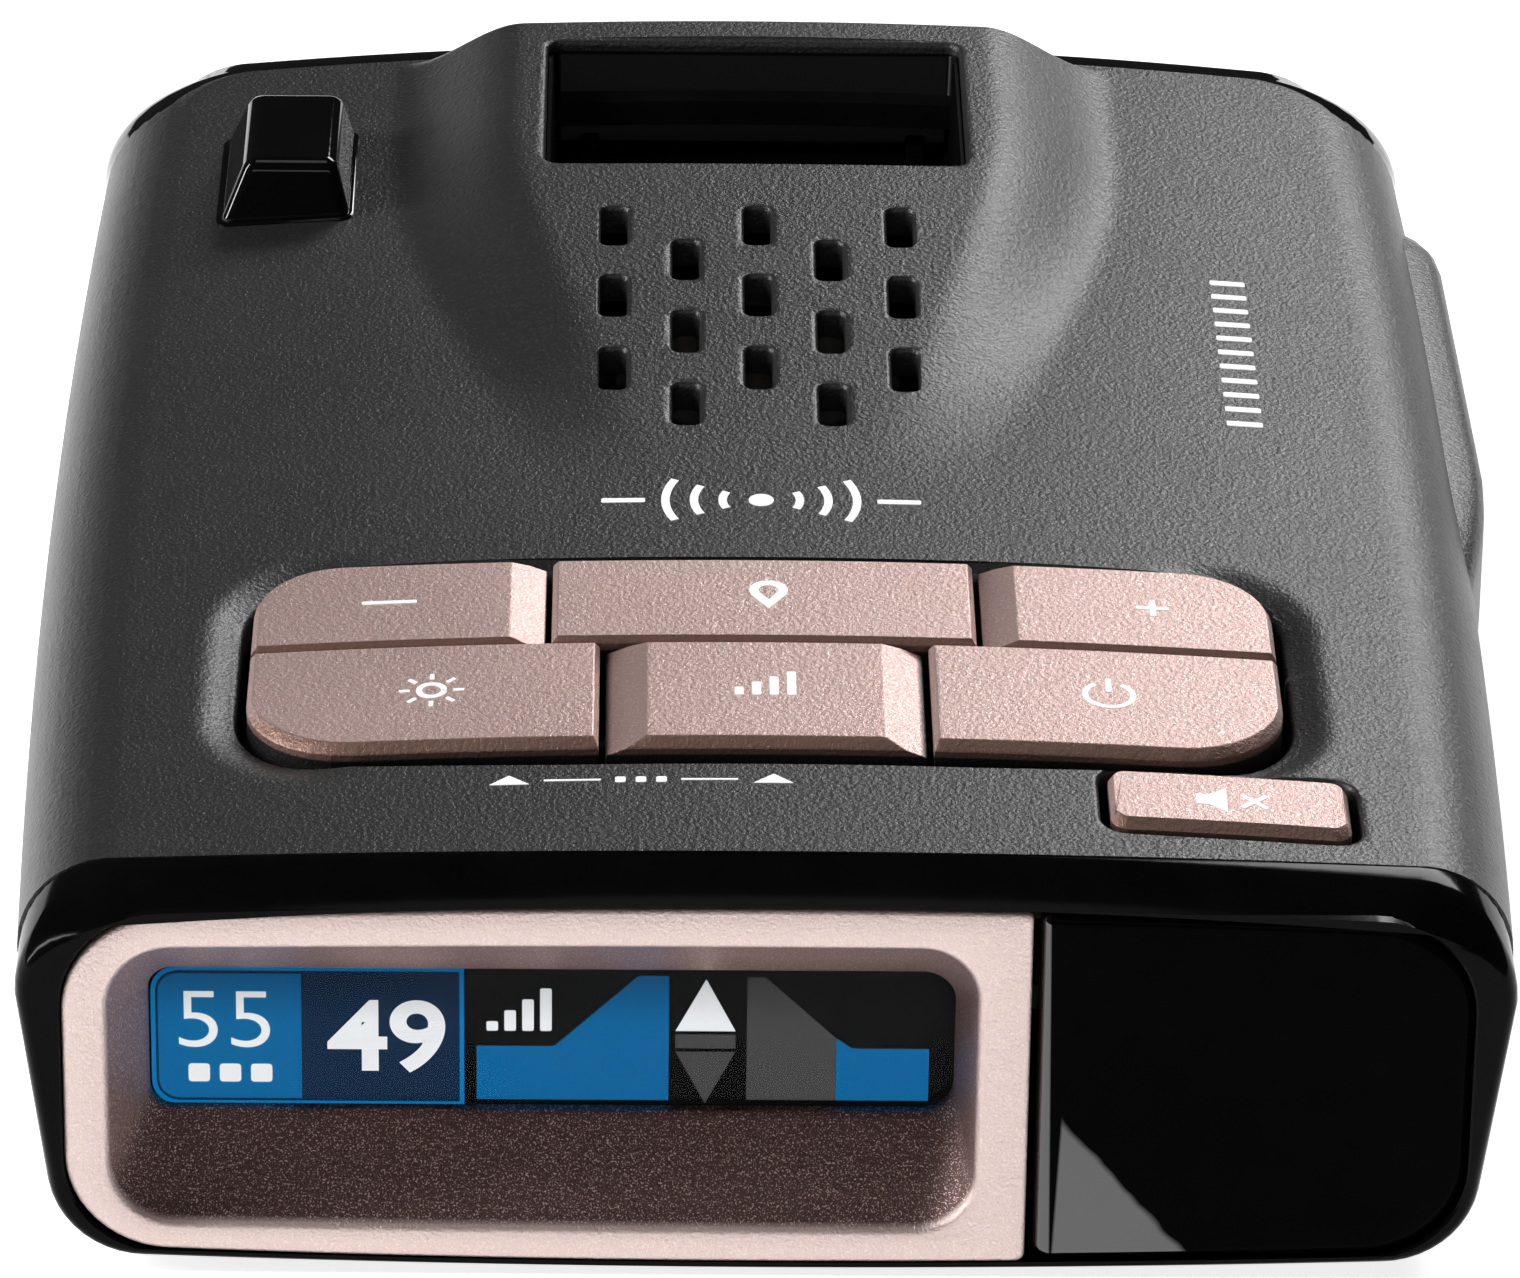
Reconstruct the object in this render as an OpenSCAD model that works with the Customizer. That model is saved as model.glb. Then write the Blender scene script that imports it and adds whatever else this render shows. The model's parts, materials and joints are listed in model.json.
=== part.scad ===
// Windscreen radar detector with a display at the near end, seven keys on top,
// a speaker grille, a pocket for the windscreen mount and a laser lens turret.
// X runs to the driver's right along the display, Y towards the windscreen, Z up.

/* [Body] */
// Width of the two shells
body_w = 84.0; // [80:0.5:92]
// Length from display face to windscreen end
body_l = 111.0; // [100:0.5:120]
// Height of the shell roof on the centre line
roof_z = 24.7; // [22:0.1:28]
// Radius of the crown across the roof
crown_r = 430; // [200:10:800]
// Radius of the upper side corners
shoulder_r = 6.3; // [4:0.1:9]
// Radius of the lower side corners
keel_r = 5.5; // [3:0.1:8]
// Height where the two shells meet
part_z = 17.0; // [14:0.1:20]
// Wall thickness of the shells
wall = 2.0; // [1.5:0.1:3]

/* [Hump] */
// Rise of the hump over the roof
hump_rise = 3.3; // [2:0.1:5]
// Where the hump starts to rise
hump_start_y = 46; // [40:1:55]
// Where the hump reaches full height
hump_full_y = 88; // [80:1:95]
// Where the hump ends
hump_end_y = 106.8; // [104:0.1:109]

/* [Mount pocket] */
// Width of the pocket opening
pocket_w = 26.7; // [20:0.1:30]
// Near edge of the pocket opening
pocket_y0 = 85.6; // [80:0.1:90]
// Far edge of the pocket opening
pocket_y1 = 103.6; // [98:0.1:105]
// Height of the pocket floor
pocket_floor_z = 20.8; // [19:0.1:24]

/* [Speaker grille] */
// Pitch of the slot columns
slot_pitch_x = 4.46; // [4:0.01:5]
// Pitch of the slots in one column
slot_pitch_y = 8.0; // [7:0.1:9]
// Width of one slot
slot_w = 1.75; // [1.2:0.05:2.4]
// Length of one slot
slot_l = 4.5; // [3:0.1:6]

/* [Keys] */
// Half width of the six-key pad
pad_half_w = 29.55; // [26:0.05:32]
// Near edge of the six-key pad
pad_y0 = 16.0; // [12:0.1:20]
// Line between the two key rows
pad_split_y = 28.0; // [24:0.1:32]
// Far edge of the six-key pad
pad_y1 = 37.7; // [34:0.1:42]
// Height of the key faces on the centre line
key_top_z = 25.4; // [25:0.1:27]
// Gap around the keys
key_gap = 0.45; // [0.3:0.05:0.8]
// Travel of every key
key_travel = 0.5; // [0.3:0.1:0.8]

/* [Display end] */
// Lean of the display face away from the driver
face_lean = 3; // [0:0.5:8]
// Depth of the recess in front of the display
recess_d = 4.4; // [3:0.1:6]

/* [Hidden] */
half_w = body_w / 2;
frame_half_w = half_w - 0.4;
under_z = 0.5;
frame_under_z = 0.1;
side_out = 1.3;
side_shift = side_out / 2;
front_arc_r = 470;
front_arc_y = 5.0;
rear_arc_r = 400;
rear_corner_r = 6.8;
rear_joint_y = 108.3;
fit_gap = 0.1;
board_z = 10.0;
board_t = 1.6;
key_board_z = 14.8;
key_board_t = 1.0;
switch_h = 1.8;
membrane_z = key_board_z + key_board_t + switch_h + 0.1;
stem_end_z = membrane_z + 0.8 + key_travel + 0.2;
boss_spots = [[-34, 17], [34, 17], [-34, 100.5], [34, 100.5]];
post_spots = [[-31, 44], [31, 44], [-31, 76], [26, 91]];
switch_spots = [[-21, 33], [0, 33], [21, 33], [-19.5, 22], [0, 22], [19.5, 22], [26, 11.9]];
plastic_dark = [0.13, 0.13, 0.13];
plastic_gloss = [0.03, 0.03, 0.035];
rose = [0.66, 0.52, 0.49];
board_green = [0.08, 0.32, 0.2];

// ---------- curves ----------
function arc(cx, cz, r, a0, a1, n) =
    [for (i = [0 : n]) let (a = a0 + (a1 - a0) * i / n) [cx + r * cos(a), cz + r * sin(a)]];
function ease(t) = t <= 0 ? 0 : t >= 1 ? 1 : t * t * (3 - 2 * t);
function roof(x) = roof_z - x * x / (2 * crown_r);
function foot(y) = 12 + 11.5 * ease((y - hump_start_y + 14) / 62);
function hump(x, y) = hump_rise * ease((y - hump_start_y) / (hump_full_y - hump_start_y))
    * ease((foot(y) - abs(x)) / 8.5) * ease((hump_end_y - y) / 1.6 + 0.2);

function keel_bow(x) = max(0, x * x - 23 * 23) / 1100;

// Outline across the body, clockwise from the left shoulder
function across(hw, under, inset) = let (
    sr = shoulder_r - inset,
    kr = keel_r - inset,
    sx = hw - shoulder_r,
    kx = hw - 1.5 - keel_r,
    sz = roof(sx) - shoulder_r,
    kz = under + keel_bow(kx) + keel_r)
    concat(
        [for (a = [180 : -11.25 : 90]) [-sx + sr * cos(a), sz + sr * sin(a)]],
        [for (i = [-7 : 7]) [sx * i / 8, roof(sx * i / 8) - inset]],
        [for (a = [90 : -11.25 : 0]) [sx + sr * cos(a), sz + sr * sin(a)]],
        [for (a = [0 : -15 : -90]) [kx + kr * cos(a), kz + kr * sin(a)]],
        [for (i = [7 : -1 : -7]) [kx * i / 8, under + keel_bow(kx * i / 8) + inset]],
        [for (a = [-90 : -15 : -180]) [-kx + kr * cos(a), kz + kr * sin(a)]]);

module run_y(y0, y1) {
    translate([0, y1, 0])
        rotate([90, 0, 0])
            linear_extrude(y1 - y0)
                children();
}

// Everything behind the near joint line, in plan
module behind_front(inset = 0) {
    translate([0, front_arc_y + inset + front_arc_r, -1])
        cylinder(r = front_arc_r, h = 40, $fn = 720);
}

// Everything ahead of the windscreen-end line, in plan, with corners tangent to it
module before_rear(y_end, corner) {
    hw = half_w + 0.01;
    cy = y_end - rear_arc_r;
    far = rear_arc_r - corner;
    yc = cy + sqrt(far * far - (hw - corner) * (hw - corner));
    turn = atan2(yc - cy, hw - corner);
    translate([0, 0, -1])
        linear_extrude(40)
            polygon(concat(
                [[-hw, -5]],
                [for (i = [0 : 8]) let (a = 180 - turn * i / 8)
                    [-hw + corner + corner * cos(a), yc + corner * sin(a)]],
                [for (i = [1 : 15]) let (a = 180 - turn - (180 - 2 * turn) * i / 16)
                    [rear_arc_r * cos(a), cy + rear_arc_r * sin(a)]],
                [for (i = [0 : 8]) let (a = turn - turn * i / 8)
                    [hw - corner + corner * cos(a), yc + corner * sin(a)]],
                [[hw, -5]]));
}

// Stations across and along the roof, closer together where it bends more
function cross_x(inset) = let (sr = shoulder_r - inset, sx = half_w - shoulder_r) concat(
    [for (a = [180 : -15 : 105]) [-sx + sr * cos(a), roof(sx) - shoulder_r + sr * sin(a), 0]],
    [for (i = [-12 : 12]) [sx * i / 12, roof(sx * i / 12) - inset, 1]],
    [for (a = [75 : -15 : 0]) [sx + sr * cos(a), roof(sx) - shoulder_r + sr * sin(a), 0]]);
function along_y() = concat([-1, 24, 44], [for (y = [48 : 4 : 84]) y],
    [88, 96, 104, 105.4, 105.8, 106.2, 106.6, 107, 108, 113]);

// Solid under the roof and hump, down to well below the joint of the shells
module roof_block(inset) {
    xs = cross_x(inset);
    ys = along_y();
    m = len(xs);
    n = len(ys);
    top = [for (y = ys) for (c = xs) [c[0], y, c[1] + c[2] * hump(c[0], y + (y > 104 ? inset : 0))]];
    low = [for (q = top) [q[0], q[1], 12]];
    k = m * n;
    lid = [for (j = [0 : n - 2]) for (i = [0 : m - 2]) let (q = j * m + i) each
        [[q, q + m, q + 1], [q + 1, q + m, q + m + 1]]];
    base = [for (j = [0 : n - 2]) for (i = [0 : m - 2]) let (q = k + j * m + i) each
        [[q, q + 1, q + m], [q + 1, q + m + 1, q + m]]];
    near = [for (i = [0 : m - 2]) each [[i, i + 1, k + i + 1], [i, k + i + 1, k + i]]];
    far = [for (i = [0 : m - 2]) let (q = (n - 1) * m + i) each
        [[q + 1, q, k + q], [q + 1, k + q, k + q + 1]]];
    left = [for (j = [0 : n - 2]) let (q = j * m) each
        [[q + m, q, k + q], [q + m, k + q, k + q + m]]];
    right = [for (j = [0 : n - 2]) let (q = j * m + m - 1) each
        [[q, q + m, k + q + m], [q, k + q + m, k + q]]];
    polyhedron(concat(top, low), concat(lid, base, near, far, left, right), convexity = 4);
}

// ---------- shells ----------
module shell_blank(inset) {
    intersection() {
        run_y(-1, body_l)
            polygon(across(half_w, under_z, inset));
        behind_front();
        before_rear(rear_joint_y, rear_corner_r);
    }
}

module shell_room() {
    intersection() {
        run_y(-1, body_l + 2)
            polygon(across(half_w, under_z, wall));
        translate([-60, 0, -5])
            cube([120, rear_joint_y + 3, 60]);
    }
}

function pad_outline(grow) = let (
    w = pad_half_w + grow,
    y0 = pad_y0 - grow,
    y1 = pad_y1 + grow,
    rn = 6.2 + grow,
    rf = 5 + grow)
    concat(
        arc(-w + rn, y0 + rn, rn, 180, 270, 8),
        arc(w - rn, y0 + rn, rn, 270, 360, 8),
        arc(w - rf, y1 - rf, rf, 0, 90, 8),
        arc(-w + rf, y1 - rf, rf, 90, 180, 8));

module pad_plan(grow) {
    polygon(pad_outline(grow));
}

module mute_plan(grow) {
    w = 6.75 + grow;
    l = 3.0 + grow;
    r = 1.0 + grow;
    translate([25.9, 11.7])
        polygon(concat(
            arc(-w + r, -l + r, r, 180, 270, 5), arc(w - r, -l + r, r, 270, 360, 5),
            arc(w - r, l - r, r, 0, 90, 5), arc(-w + r, l - r, r, 90, 180, 5)));
}

module grille_slot(x, y) {
    translate([x, y, 18])
        linear_extrude(14)
            hull() {
                for (sx = [-1, 1])
                    for (sy = [-1, 1])
                        translate([sx * (slot_w / 2 - 0.55), sy * (slot_l / 2 - 0.55)])
                            circle(r = 0.55, $fn = 12);
            }
}

module grille() {
    for (col = [-2 : 2])
        for (row = [0 : 2])
            grille_slot(col * slot_pitch_x,
                61.4 + row * slot_pitch_y - (abs(col) == 1 ? slot_pitch_y / 2 : 0));
}

module turret_hole(grow) {
    translate([-32.6 - grow, 86.6 - grow, 15])
        cube([5.4 + 2 * grow, 9.4 + 2 * grow, 12]);
}

module jack_notch(grow) {
    translate([half_w - 3.2 - grow, 47 - grow, 8 - grow])
        cube([10, 46 + 2 * grow, 11.6 + 2 * grow]);
}

module top_shell() color(plastic_dark) {
    difference() {
        intersection() {
            union() {
                difference() {
                    intersection() {
                        roof_block(0);
                        behind_front();
                        before_rear(rear_joint_y, rear_corner_r);
                    }
                    roof_block(wall);
                }
                for (p = boss_spots)
                    translate([p[0], p[1], part_z])
                        cylinder(r = 2.6, h = 5, $fn = 32);
            }
            translate([-60, -5, part_z])
                cube([120, 140, 20]);
        }
        for (p = boss_spots)
            translate([p[0], p[1], part_z - 1])
                cylinder(r = 0.95, h = 5, $fn = 24);
        translate([-pocket_w / 2, pocket_y0, 15])
            cube([pocket_w, pocket_y1 - pocket_y0, 20]);
        // seat of the pocket liner
        translate([-pocket_w / 2 - 1.45, pocket_y0 - 1.45, 15])
            cube([pocket_w + 2.9, pocket_y1 - pocket_y0 + 2.9, 10.8]);
        translate([0, 0, 15])
            linear_extrude(15)
                pad_plan(key_gap);
        translate([0, 0, 15])
            linear_extrude(15)
                mute_plan(key_gap);
        grille();
        turret_hole(0);
        jack_notch(0);
    }
}

module bottom_shell() color(plastic_dark) {
    difference() {
        union() {
            difference() {
                shell_blank(0);
                shell_room();
            }
            for (p = boss_spots)
                translate([p[0], p[1], under_z + 1])
                    cylinder(r = 3.0, h = part_z - under_z - 1 - fit_gap, $fn = 48);
            for (p = post_spots)
                translate([p[0], p[1], under_z + 1])
                    cylinder(r = 2.2, h = board_z - under_z - 1 - 0.02, $fn = 48);
        }
        translate([-60, -5, part_z - 0.05])
            cube([120, 140, 20]);
        for (p = boss_spots) {
            translate([p[0], p[1], -1])
                cylinder(r = 2.7, h = 5, $fn = 48);
            translate([p[0], p[1], -1])
                cylinder(r = 1.45, h = 20, $fn = 48);
        }
        for (p = post_spots)
            translate([p[0], p[1], 4])
                cylinder(r = 0.8, h = 10, $fn = 48);
        jack_notch(0);
    }
}

// ---------- display end ----------
module on_face(depth, thick) {
    rotate([-face_lean, 0, 0])
        translate([0, depth + thick, 0])
            rotate([90, 0, 0])
                linear_extrude(thick)
                    children();
}

function panel(x0, x1, z0, z1, rl, rr) = concat(
    arc(x0 + rl, z0 + rl, rl, 180, 270, 8),
    arc(x1 - rr, z0 + rr, rr, 270, 360, 8),
    arc(x1 - rr, z1 - rr, rr, 0, 90, 8),
    arc(x0 + rl, z1 - rl, rl, 90, 180, 8));

// The same outline with its long edges bowed like the body around it
function bow(x) = x * x / 1700;
function bowed_panel(x0, x1, z0, z1, rl, rr) = let (
    zl0 = z0 + bow(x0 + rl),
    zr0 = z0 + bow(x1 - rr),
    zl1 = z1 - bow(x0 + rl),
    zr1 = z1 - bow(x1 - rr),
    run = x1 - rr - x0 - rl)
    concat(
        arc(x0 + rl, zl0 + rl, rl, 180, 268, 8),
        [for (i = [1 : 9]) let (x = x0 + rl + run * i / 10) [x, z0 + bow(x)]],
        arc(x1 - rr, zr0 + rr, rr, 272, 360, 8),
        arc(x1 - rr, zr1 - rr, rr, 0, 88, 8),
        [for (i = [9 : -1 : 1]) let (x = x0 + rl + run * i / 10) [x, z1 - bow(x)]],
        arc(x0 + rl, zl1 - rl, rl, 92, 180, 8));

module front_frame() color(plastic_gloss) {
    difference() {
        union() {
            difference() {
                run_y(-1, 12)
                    polygon(across(frame_half_w, frame_under_z, 0));
                behind_front(-0.05);
            }
            run_y(4, 7.2)
                polygon(across(half_w, under_z, wall + 0.15));
        }
        // sloped brow above the face
        translate([0, 1.2, 23.2])
            rotate([20, 0, 0])
                translate([-60, -20, 0])
                    cube([120, 60, 20]);
        // leaning face
        rotate([-face_lean, 0, 0])
            translate([-60, -20, -5])
                cube([120, 20, 60]);
        on_face(-5, 20)
            polygon(bowed_panel(-39.1, 39.3, 0.7, 23.1, 5.8, 5.8));
    }
}

module display_bezel() color(rose) {
    difference() {
        on_face(0.02, recess_d + 0.6)
            polygon(bowed_panel(-39.0, 14.65, 0.8, 23.0, 5.7, 0.5));
        rotate([-face_lean, 0, 0])
            hull() {
                translate([0, 0, 0])
                    rotate([90, 0, 0])
                        linear_extrude(0.5)
                            polygon(panel(-36.5, 11.8, 3.0, 20.6, 3.6, 3.6));
                translate([0, recess_d, 0])
                    rotate([90, 0, 0])
                        linear_extrude(0.01)
                            polygon(panel(-34.5, 10.6, 8.3, 17.3, 1.2, 1.2));
            }
        on_face(recess_d - 0.1, 5)
            polygon(panel(-34.5, 10.6, 8.3, 17.3, 1.2, 1.2));
        // stepped in at the back to clear both shells
        difference() {
            translate([-60, 4.85, -5])
                cube([120, 10, 40]);
            translate([-60, 0, 2.7])
                cube([120, 20, 19.7]);
        }
    }
}

module display_window() color([0.2, 0.22, 0.25, 0.5]) {
    on_face(recess_d + 0.65, 1.0)
        polygon(panel(-35.6, 11.7, 7.2, 18.4, 1.0, 1.0));
}

module display_module() color([0.05, 0.2, 0.35]) {
    on_face(recess_d + 1.7, 1.8)
        polygon(panel(-36.6, 12.7, 5.2, 19.4, 0.5, 0.5));
}

module display_board() color(board_green) {
    on_face(recess_d + 3.6, 1.0)
        polygon(panel(-36.2, 12.2, 4.4, 19.6, 0.6, 0.6));
    on_face(recess_d + 4.6, 2.2)
        polygon(panel(-24, -8, 8, 14, 0.3, 0.3));
}

module sensor_window() color(plastic_gloss) {
    on_face(0.02, 2.2)
        polygon(bowed_panel(15.0, 39.2, 0.8, 23.0, 0.8, 5.7));
}

module laser_sensor_behind() color([0.2, 0.1, 0.12]) {
    on_face(2.6, 5.0)
        polygon(panel(19.5, 34.5, 5.5, 13.4, 0.6, 0.6));
}

// ---------- windscreen end ----------
module rear_window() color(plastic_gloss) {
    difference() {
        intersection() {
            run_y(90, body_l + 2)
                polygon(across(half_w - 0.35, under_z + 0.35, 0));
            before_rear(body_l, rear_corner_r);
        }
        before_rear(rear_joint_y + 0.05, rear_corner_r);
        translate([-16, 100, 3.4])
            cube([36, 9.2, 5.2]);
    }
}

function box_ring(x0, x1, y0, y1, z) = [[x0, y0, z], [x1, y0, z], [x1, y1, z], [x0, y1, z]];
box_sides = [[0, 1, 2, 3], [4, 5, 1, 0], [5, 6, 2, 1], [6, 7, 3, 2], [7, 4, 0, 3], [7, 6, 5, 4]];

module laser_turret() color(plastic_gloss) {
    difference() {
        union() {
            polyhedron(concat(
                box_ring(-34.1, -25.4, 84.9, 97.6, 22.9),
                box_ring(-32.2, -26.5, 86.1, 96.2, 27.4)), box_sides);
            translate([-32.5, 86.7, 21.0])
                cube([5.2, 9.2, 3.0]);
        }
        translate([-31.4, 87.7, 20])
            cube([3.0, 7.2, 6.2]);
        // underside follows the roof
        difference() {
            translate([-36, 83, 20])
                cube([12, 16, 4.6]);
            translate([0, 110, roof_z - crown_r + 0.02])
                rotate([90, 0, 0])
                    difference() {
                        translate([0, 0, -10])
                            cylinder(r = crown_r + 10, h = 60, $fn = 1440);
                        translate([0, 0, -11])
                            cylinder(r = crown_r, h = 62, $fn = 1440);
                    }
            translate([-32.5, 86.7, 18])
                cube([5.2, 9.2, 8]);
        }
    }
}

module laser_sensor_ahead() color([0.2, 0.1, 0.12]) {
    translate([-33, 86, board_z + board_t + 0.05])
        cube([6.4, 10.2, 6.4]);
    translate([-31.2, 88.2, board_z + board_t + 6.4])
        cube([2.6, 6.2, 6.8]);
}

// ---------- side jack housing ----------
module jack_housing() color(plastic_dark) {
    difference() {
        intersection() {
            jack_notch(-0.1);
            translate([0, 70, 0])
                linear_extrude(30)
                    polygon([[30, -24], [half_w, -24], [half_w + 0.9, -22.6], [half_w + side_out, -20],
                        [half_w + side_out, 20], [half_w + 0.9, 22.2], [half_w, 24], [30, 24]]);
        }
        // opening for the power plug
        translate([half_w - 5, 72.4, 12.1])
            cube([10, 10.2, 6.4]);
        // opening for the usb plug
        translate([half_w - 5, 57.4, 11.5])
            cube([10, 8.2, 3.2]);
    }
}

module power_inlet() color(plastic_gloss) {
    difference() {
        translate([half_w - 15.6, 71.4, board_z + board_t + 0.02])
            cube([12.2, 12.2, 7.4]);
        translate([half_w - 13.4, 72.8, board_z + board_t + 0.9])
            cube([12, 9.4, 5.6]);
    }
    for (i = [0 : 3])
        translate([half_w - 13.6, 75.4 + 1.27 * i, board_z + board_t + 1.6])
            cube([8.5, 0.5, 0.4]);
}

module usb_inlet() color([0.75, 0.76, 0.78]) {
    difference() {
        translate([half_w - 9.0, 57.7, board_z + board_t + 0.02])
            cube([5.6, 7.6, 2.9]);
        translate([half_w - 8.4, 58.1, board_z + board_t + 0.4])
            cube([8, 6.8, 2.1]);
    }
    translate([half_w - 8.6, 59.6, board_z + board_t + 1.1])
        cube([4.4, 3.8, 0.6]);
}

// ---------- keys ----------
module key_crown() {
    translate([0, 60, key_top_z - crown_r])
        rotate([90, 0, 0])
            cylinder(r = crown_r, h = 80, $fn = 1440);
}

module key_cap(x0, x1, y0, y1) {
    intersection() {
        translate([0, 0, 22.1])
            linear_extrude(4)
                intersection() {
                    pad_plan(0);
                    translate([x0, y0])
                        square([x1 - x0, y1 - y0]);
                }
        key_crown();
    }
}

module key_stem(i) {
    translate([switch_spots[i][0], switch_spots[i][1], stem_end_z])
        cylinder(r = 1.6, h = 23 - stem_end_z, $fn = 48);
}

// Wedge that takes a wide sloped edge off a key; dir is the side it slopes to
module key_slope(x, dir) {
    translate([x, 0, key_top_z - 0.05])
        rotate([0, dir * 21, 0])
            translate([dir > 0 ? 0 : -8, 10, 0])
                cube([8, 40, 4]);
}

module key_minus() color(rose) {
    difference() {
        key_cap(-40, -12.6, pad_split_y + 0.18, 50);
        key_slope(-14.7, 1);
    }
    key_stem(0);
}

module key_mark() color(rose) {
    key_cap(-12.25, 12.25, pad_split_y + 0.18, 50);
    key_stem(1);
}

module key_plus() color(rose) {
    difference() {
        key_cap(12.6, 40, pad_split_y + 0.18, 50);
        key_slope(14.7, -1);
    }
    key_stem(2);
}

module key_brightness() color(rose) {
    key_cap(-40, -9.45, 0, pad_split_y - 0.18);
    key_stem(3);
}

module key_sensitivity() color(rose) {
    difference() {
        key_cap(-9.1, 9.1, 0, pad_split_y - 0.18);
        key_slope(6.8, 1);
        key_slope(-6.8, -1);
    }
    key_stem(4);
}

module key_power() color(rose) {
    key_cap(9.45, 40, 0, pad_split_y - 0.18);
    key_stem(5);
}

module key_mute() color(rose) {
    intersection() {
        translate([0, 0, 21.4])
            linear_extrude(4)
                mute_plan(0);
        translate([0, 0, -0.4])
            key_crown();
    }
    translate([switch_spots[6][0], switch_spots[6][1], stem_end_z])
        cylinder(r = 1.6, h = 22 - stem_end_z, $fn = 48);
}

module key_membrane() color([0.85, 0.85, 0.82]) {
    difference() {
        translate([-30, 15.5, membrane_z])
            cube([60, 22.5, 0.6]);
    }
    translate([20, 8.9, membrane_z])
        cube([12, 6.5, 0.6]);
    translate([20, 15.3, membrane_z])
        cube([9, 0.3, 0.6]);
    for (p = switch_spots)
        translate([p[0], p[1], membrane_z + 0.5])
            cylinder(r = 2, h = 0.3, $fn = 48);
}

module key_switches() color([0.7, 0.7, 0.72]) {
    for (p = switch_spots) {
        translate([p[0] - 2.25, p[1] - 2.25, key_board_z + key_board_t + 0.02])
            cube([4.5, 4.5, switch_h - 0.6]);
        translate([p[0], p[1], key_board_z + key_board_t + 0.3])
            cylinder(r = 1.1, h = switch_h - 0.3, $fn = 32);
    }
}

module key_board() color(board_green) {
    difference() {
        union() {
            translate([-30, 14.5, key_board_z])
                cube([60, 24.5, key_board_t]);
            translate([19, 8.6, key_board_z])
                cube([11, 6.5, key_board_t]);
        }
        for (p = [[-27, 36], [27, 36], [-27, 25], [27, 25]])
            translate([p[0], p[1], key_board_z - 1])
                cylinder(r = 0.8, h = 4, $fn = 32);
    }
}

module key_board_spacers() color([0.8, 0.7, 0.4]) {
    for (p = [[-27, 36], [27, 36], [-27, 25], [27, 25]])
        translate([p[0], p[1], board_z + board_t + 0.02])
            cylinder(r = 1.6, h = key_board_z - board_z - board_t - 0.04, $fn = 6);
}

// ---------- mount pocket ----------
module mount_pocket() color(plastic_gloss) {
    w = pocket_w + 0.3;
    difference() {
        translate([-w / 2 - 1.2, pocket_y0 - 1.35, pocket_floor_z - 1.2])
            cube([w + 2.4, pocket_y1 - pocket_y0 + 2.7, 6.1]);
        translate([-w / 2, pocket_y0 - 0.15, pocket_floor_z])
            cube([w, pocket_y1 - pocket_y0 + 0.3, 10]);
    }
    translate([-w / 2 - 0.1, pocket_y0 - 0.2, pocket_floor_z - 0.1])
        cube([w + 0.2, 3.4, 2.2]);
    for (x = [-7, 7])
        translate([x, 95.5, pocket_floor_z - 3.0])
            difference() {
                cylinder(r = 5.2, h = 2.0, $fn = 64);
                translate([0, 0, -1])
                    cylinder(r = 4.05, h = 2.75, $fn = 64);
            }
}

module mount_magnets() color([0.7, 0.71, 0.73]) {
    for (x = [-7, 7])
        translate([x, 95.5, pocket_floor_z - 2.9])
            cylinder(r = 4.0, h = 1.6, $fn = 64);
}

// ---------- speaker ----------
module speaker_frame() color([0.2, 0.2, 0.2]) {
    translate([0, 67, 0])
        difference() {
            union() {
                translate([0, 0, 18.4])
                    cylinder(r = 10.0, h = 3.2, $fn = 96);
                translate([0, 0, 15.0])
                    cylinder(r = 5.0, h = 3.6, $fn = 96);
            }
            translate([0, 0, 19.4])
                cylinder(r = 9.2, h = 4, $fn = 96);
        }
}

module speaker_cone() color([0.35, 0.33, 0.3]) {
    translate([0, 67, 19.5])
        rotate_extrude($fn = 96)
            polygon([[0, 0], [3.0, 0], [3.6, 0.3], [8.2, 1.6], [9.1, 1.2], [9.1, 1.6],
                [8.2, 2.0], [3.4, 0.8], [2.8, 1.1], [0, 1.5]]);
}

module speaker_gasket() color([0.1, 0.1, 0.1]) {
    translate([0, 67, 21.62])
        difference() {
            cylinder(r = 10.0, h = 1.0, $fn = 96);
            translate([0, 0, -1])
                cylinder(r = 8.9, h = 3, $fn = 96);
        }
}

// ---------- electronics ----------
module main_board() color(board_green) {
    difference() {
        translate([-37, 12.5, board_z])
            cube([74, 91, board_t]);
        for (p = boss_spots)
            translate([p[0] + (p[0] > 0 ? -3.5 : -6.5), p[1] + (p[1] > 50 ? -3.5 : -6.5), board_z - 1])
                cube([10, 10, 4]);
        for (p = post_spots)
            translate([p[0], p[1], board_z - 1])
                cylinder(r = 1.3, h = 4, $fn = 48);
    }
}

module radar_horn() color([0.75, 0.76, 0.78]) {
    difference() {
        translate([-13, 66, under_z + 2.05])
            cube([30, 38, board_z - under_z - 2.1]);
        translate([-12, 88, under_z + 3])
            cube([28, 20, board_z - under_z - 4]);
        translate([-6, 70, under_z + 3])
            cube([16, 20, board_z - under_z - 4]);
    }
}

module rf_shield() color([0.75, 0.76, 0.78]) {
    difference() {
        translate([-12, 78, board_z + board_t + 0.02])
            cube([28, 24, 3.4]);
        translate([-11.6, 78.4, board_z + board_t - 1])
            cube([27.2, 23.2, 4.0]);
    }
}

module gps_antenna() color([0.78, 0.72, 0.6]) {
    translate([17.5, 50, board_z + board_t + 0.02])
        cube([15, 15, 4.0]);
    translate([19, 51.5, board_z + board_t + 4.0])
        cube([12, 12, 0.15]);
}

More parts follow.
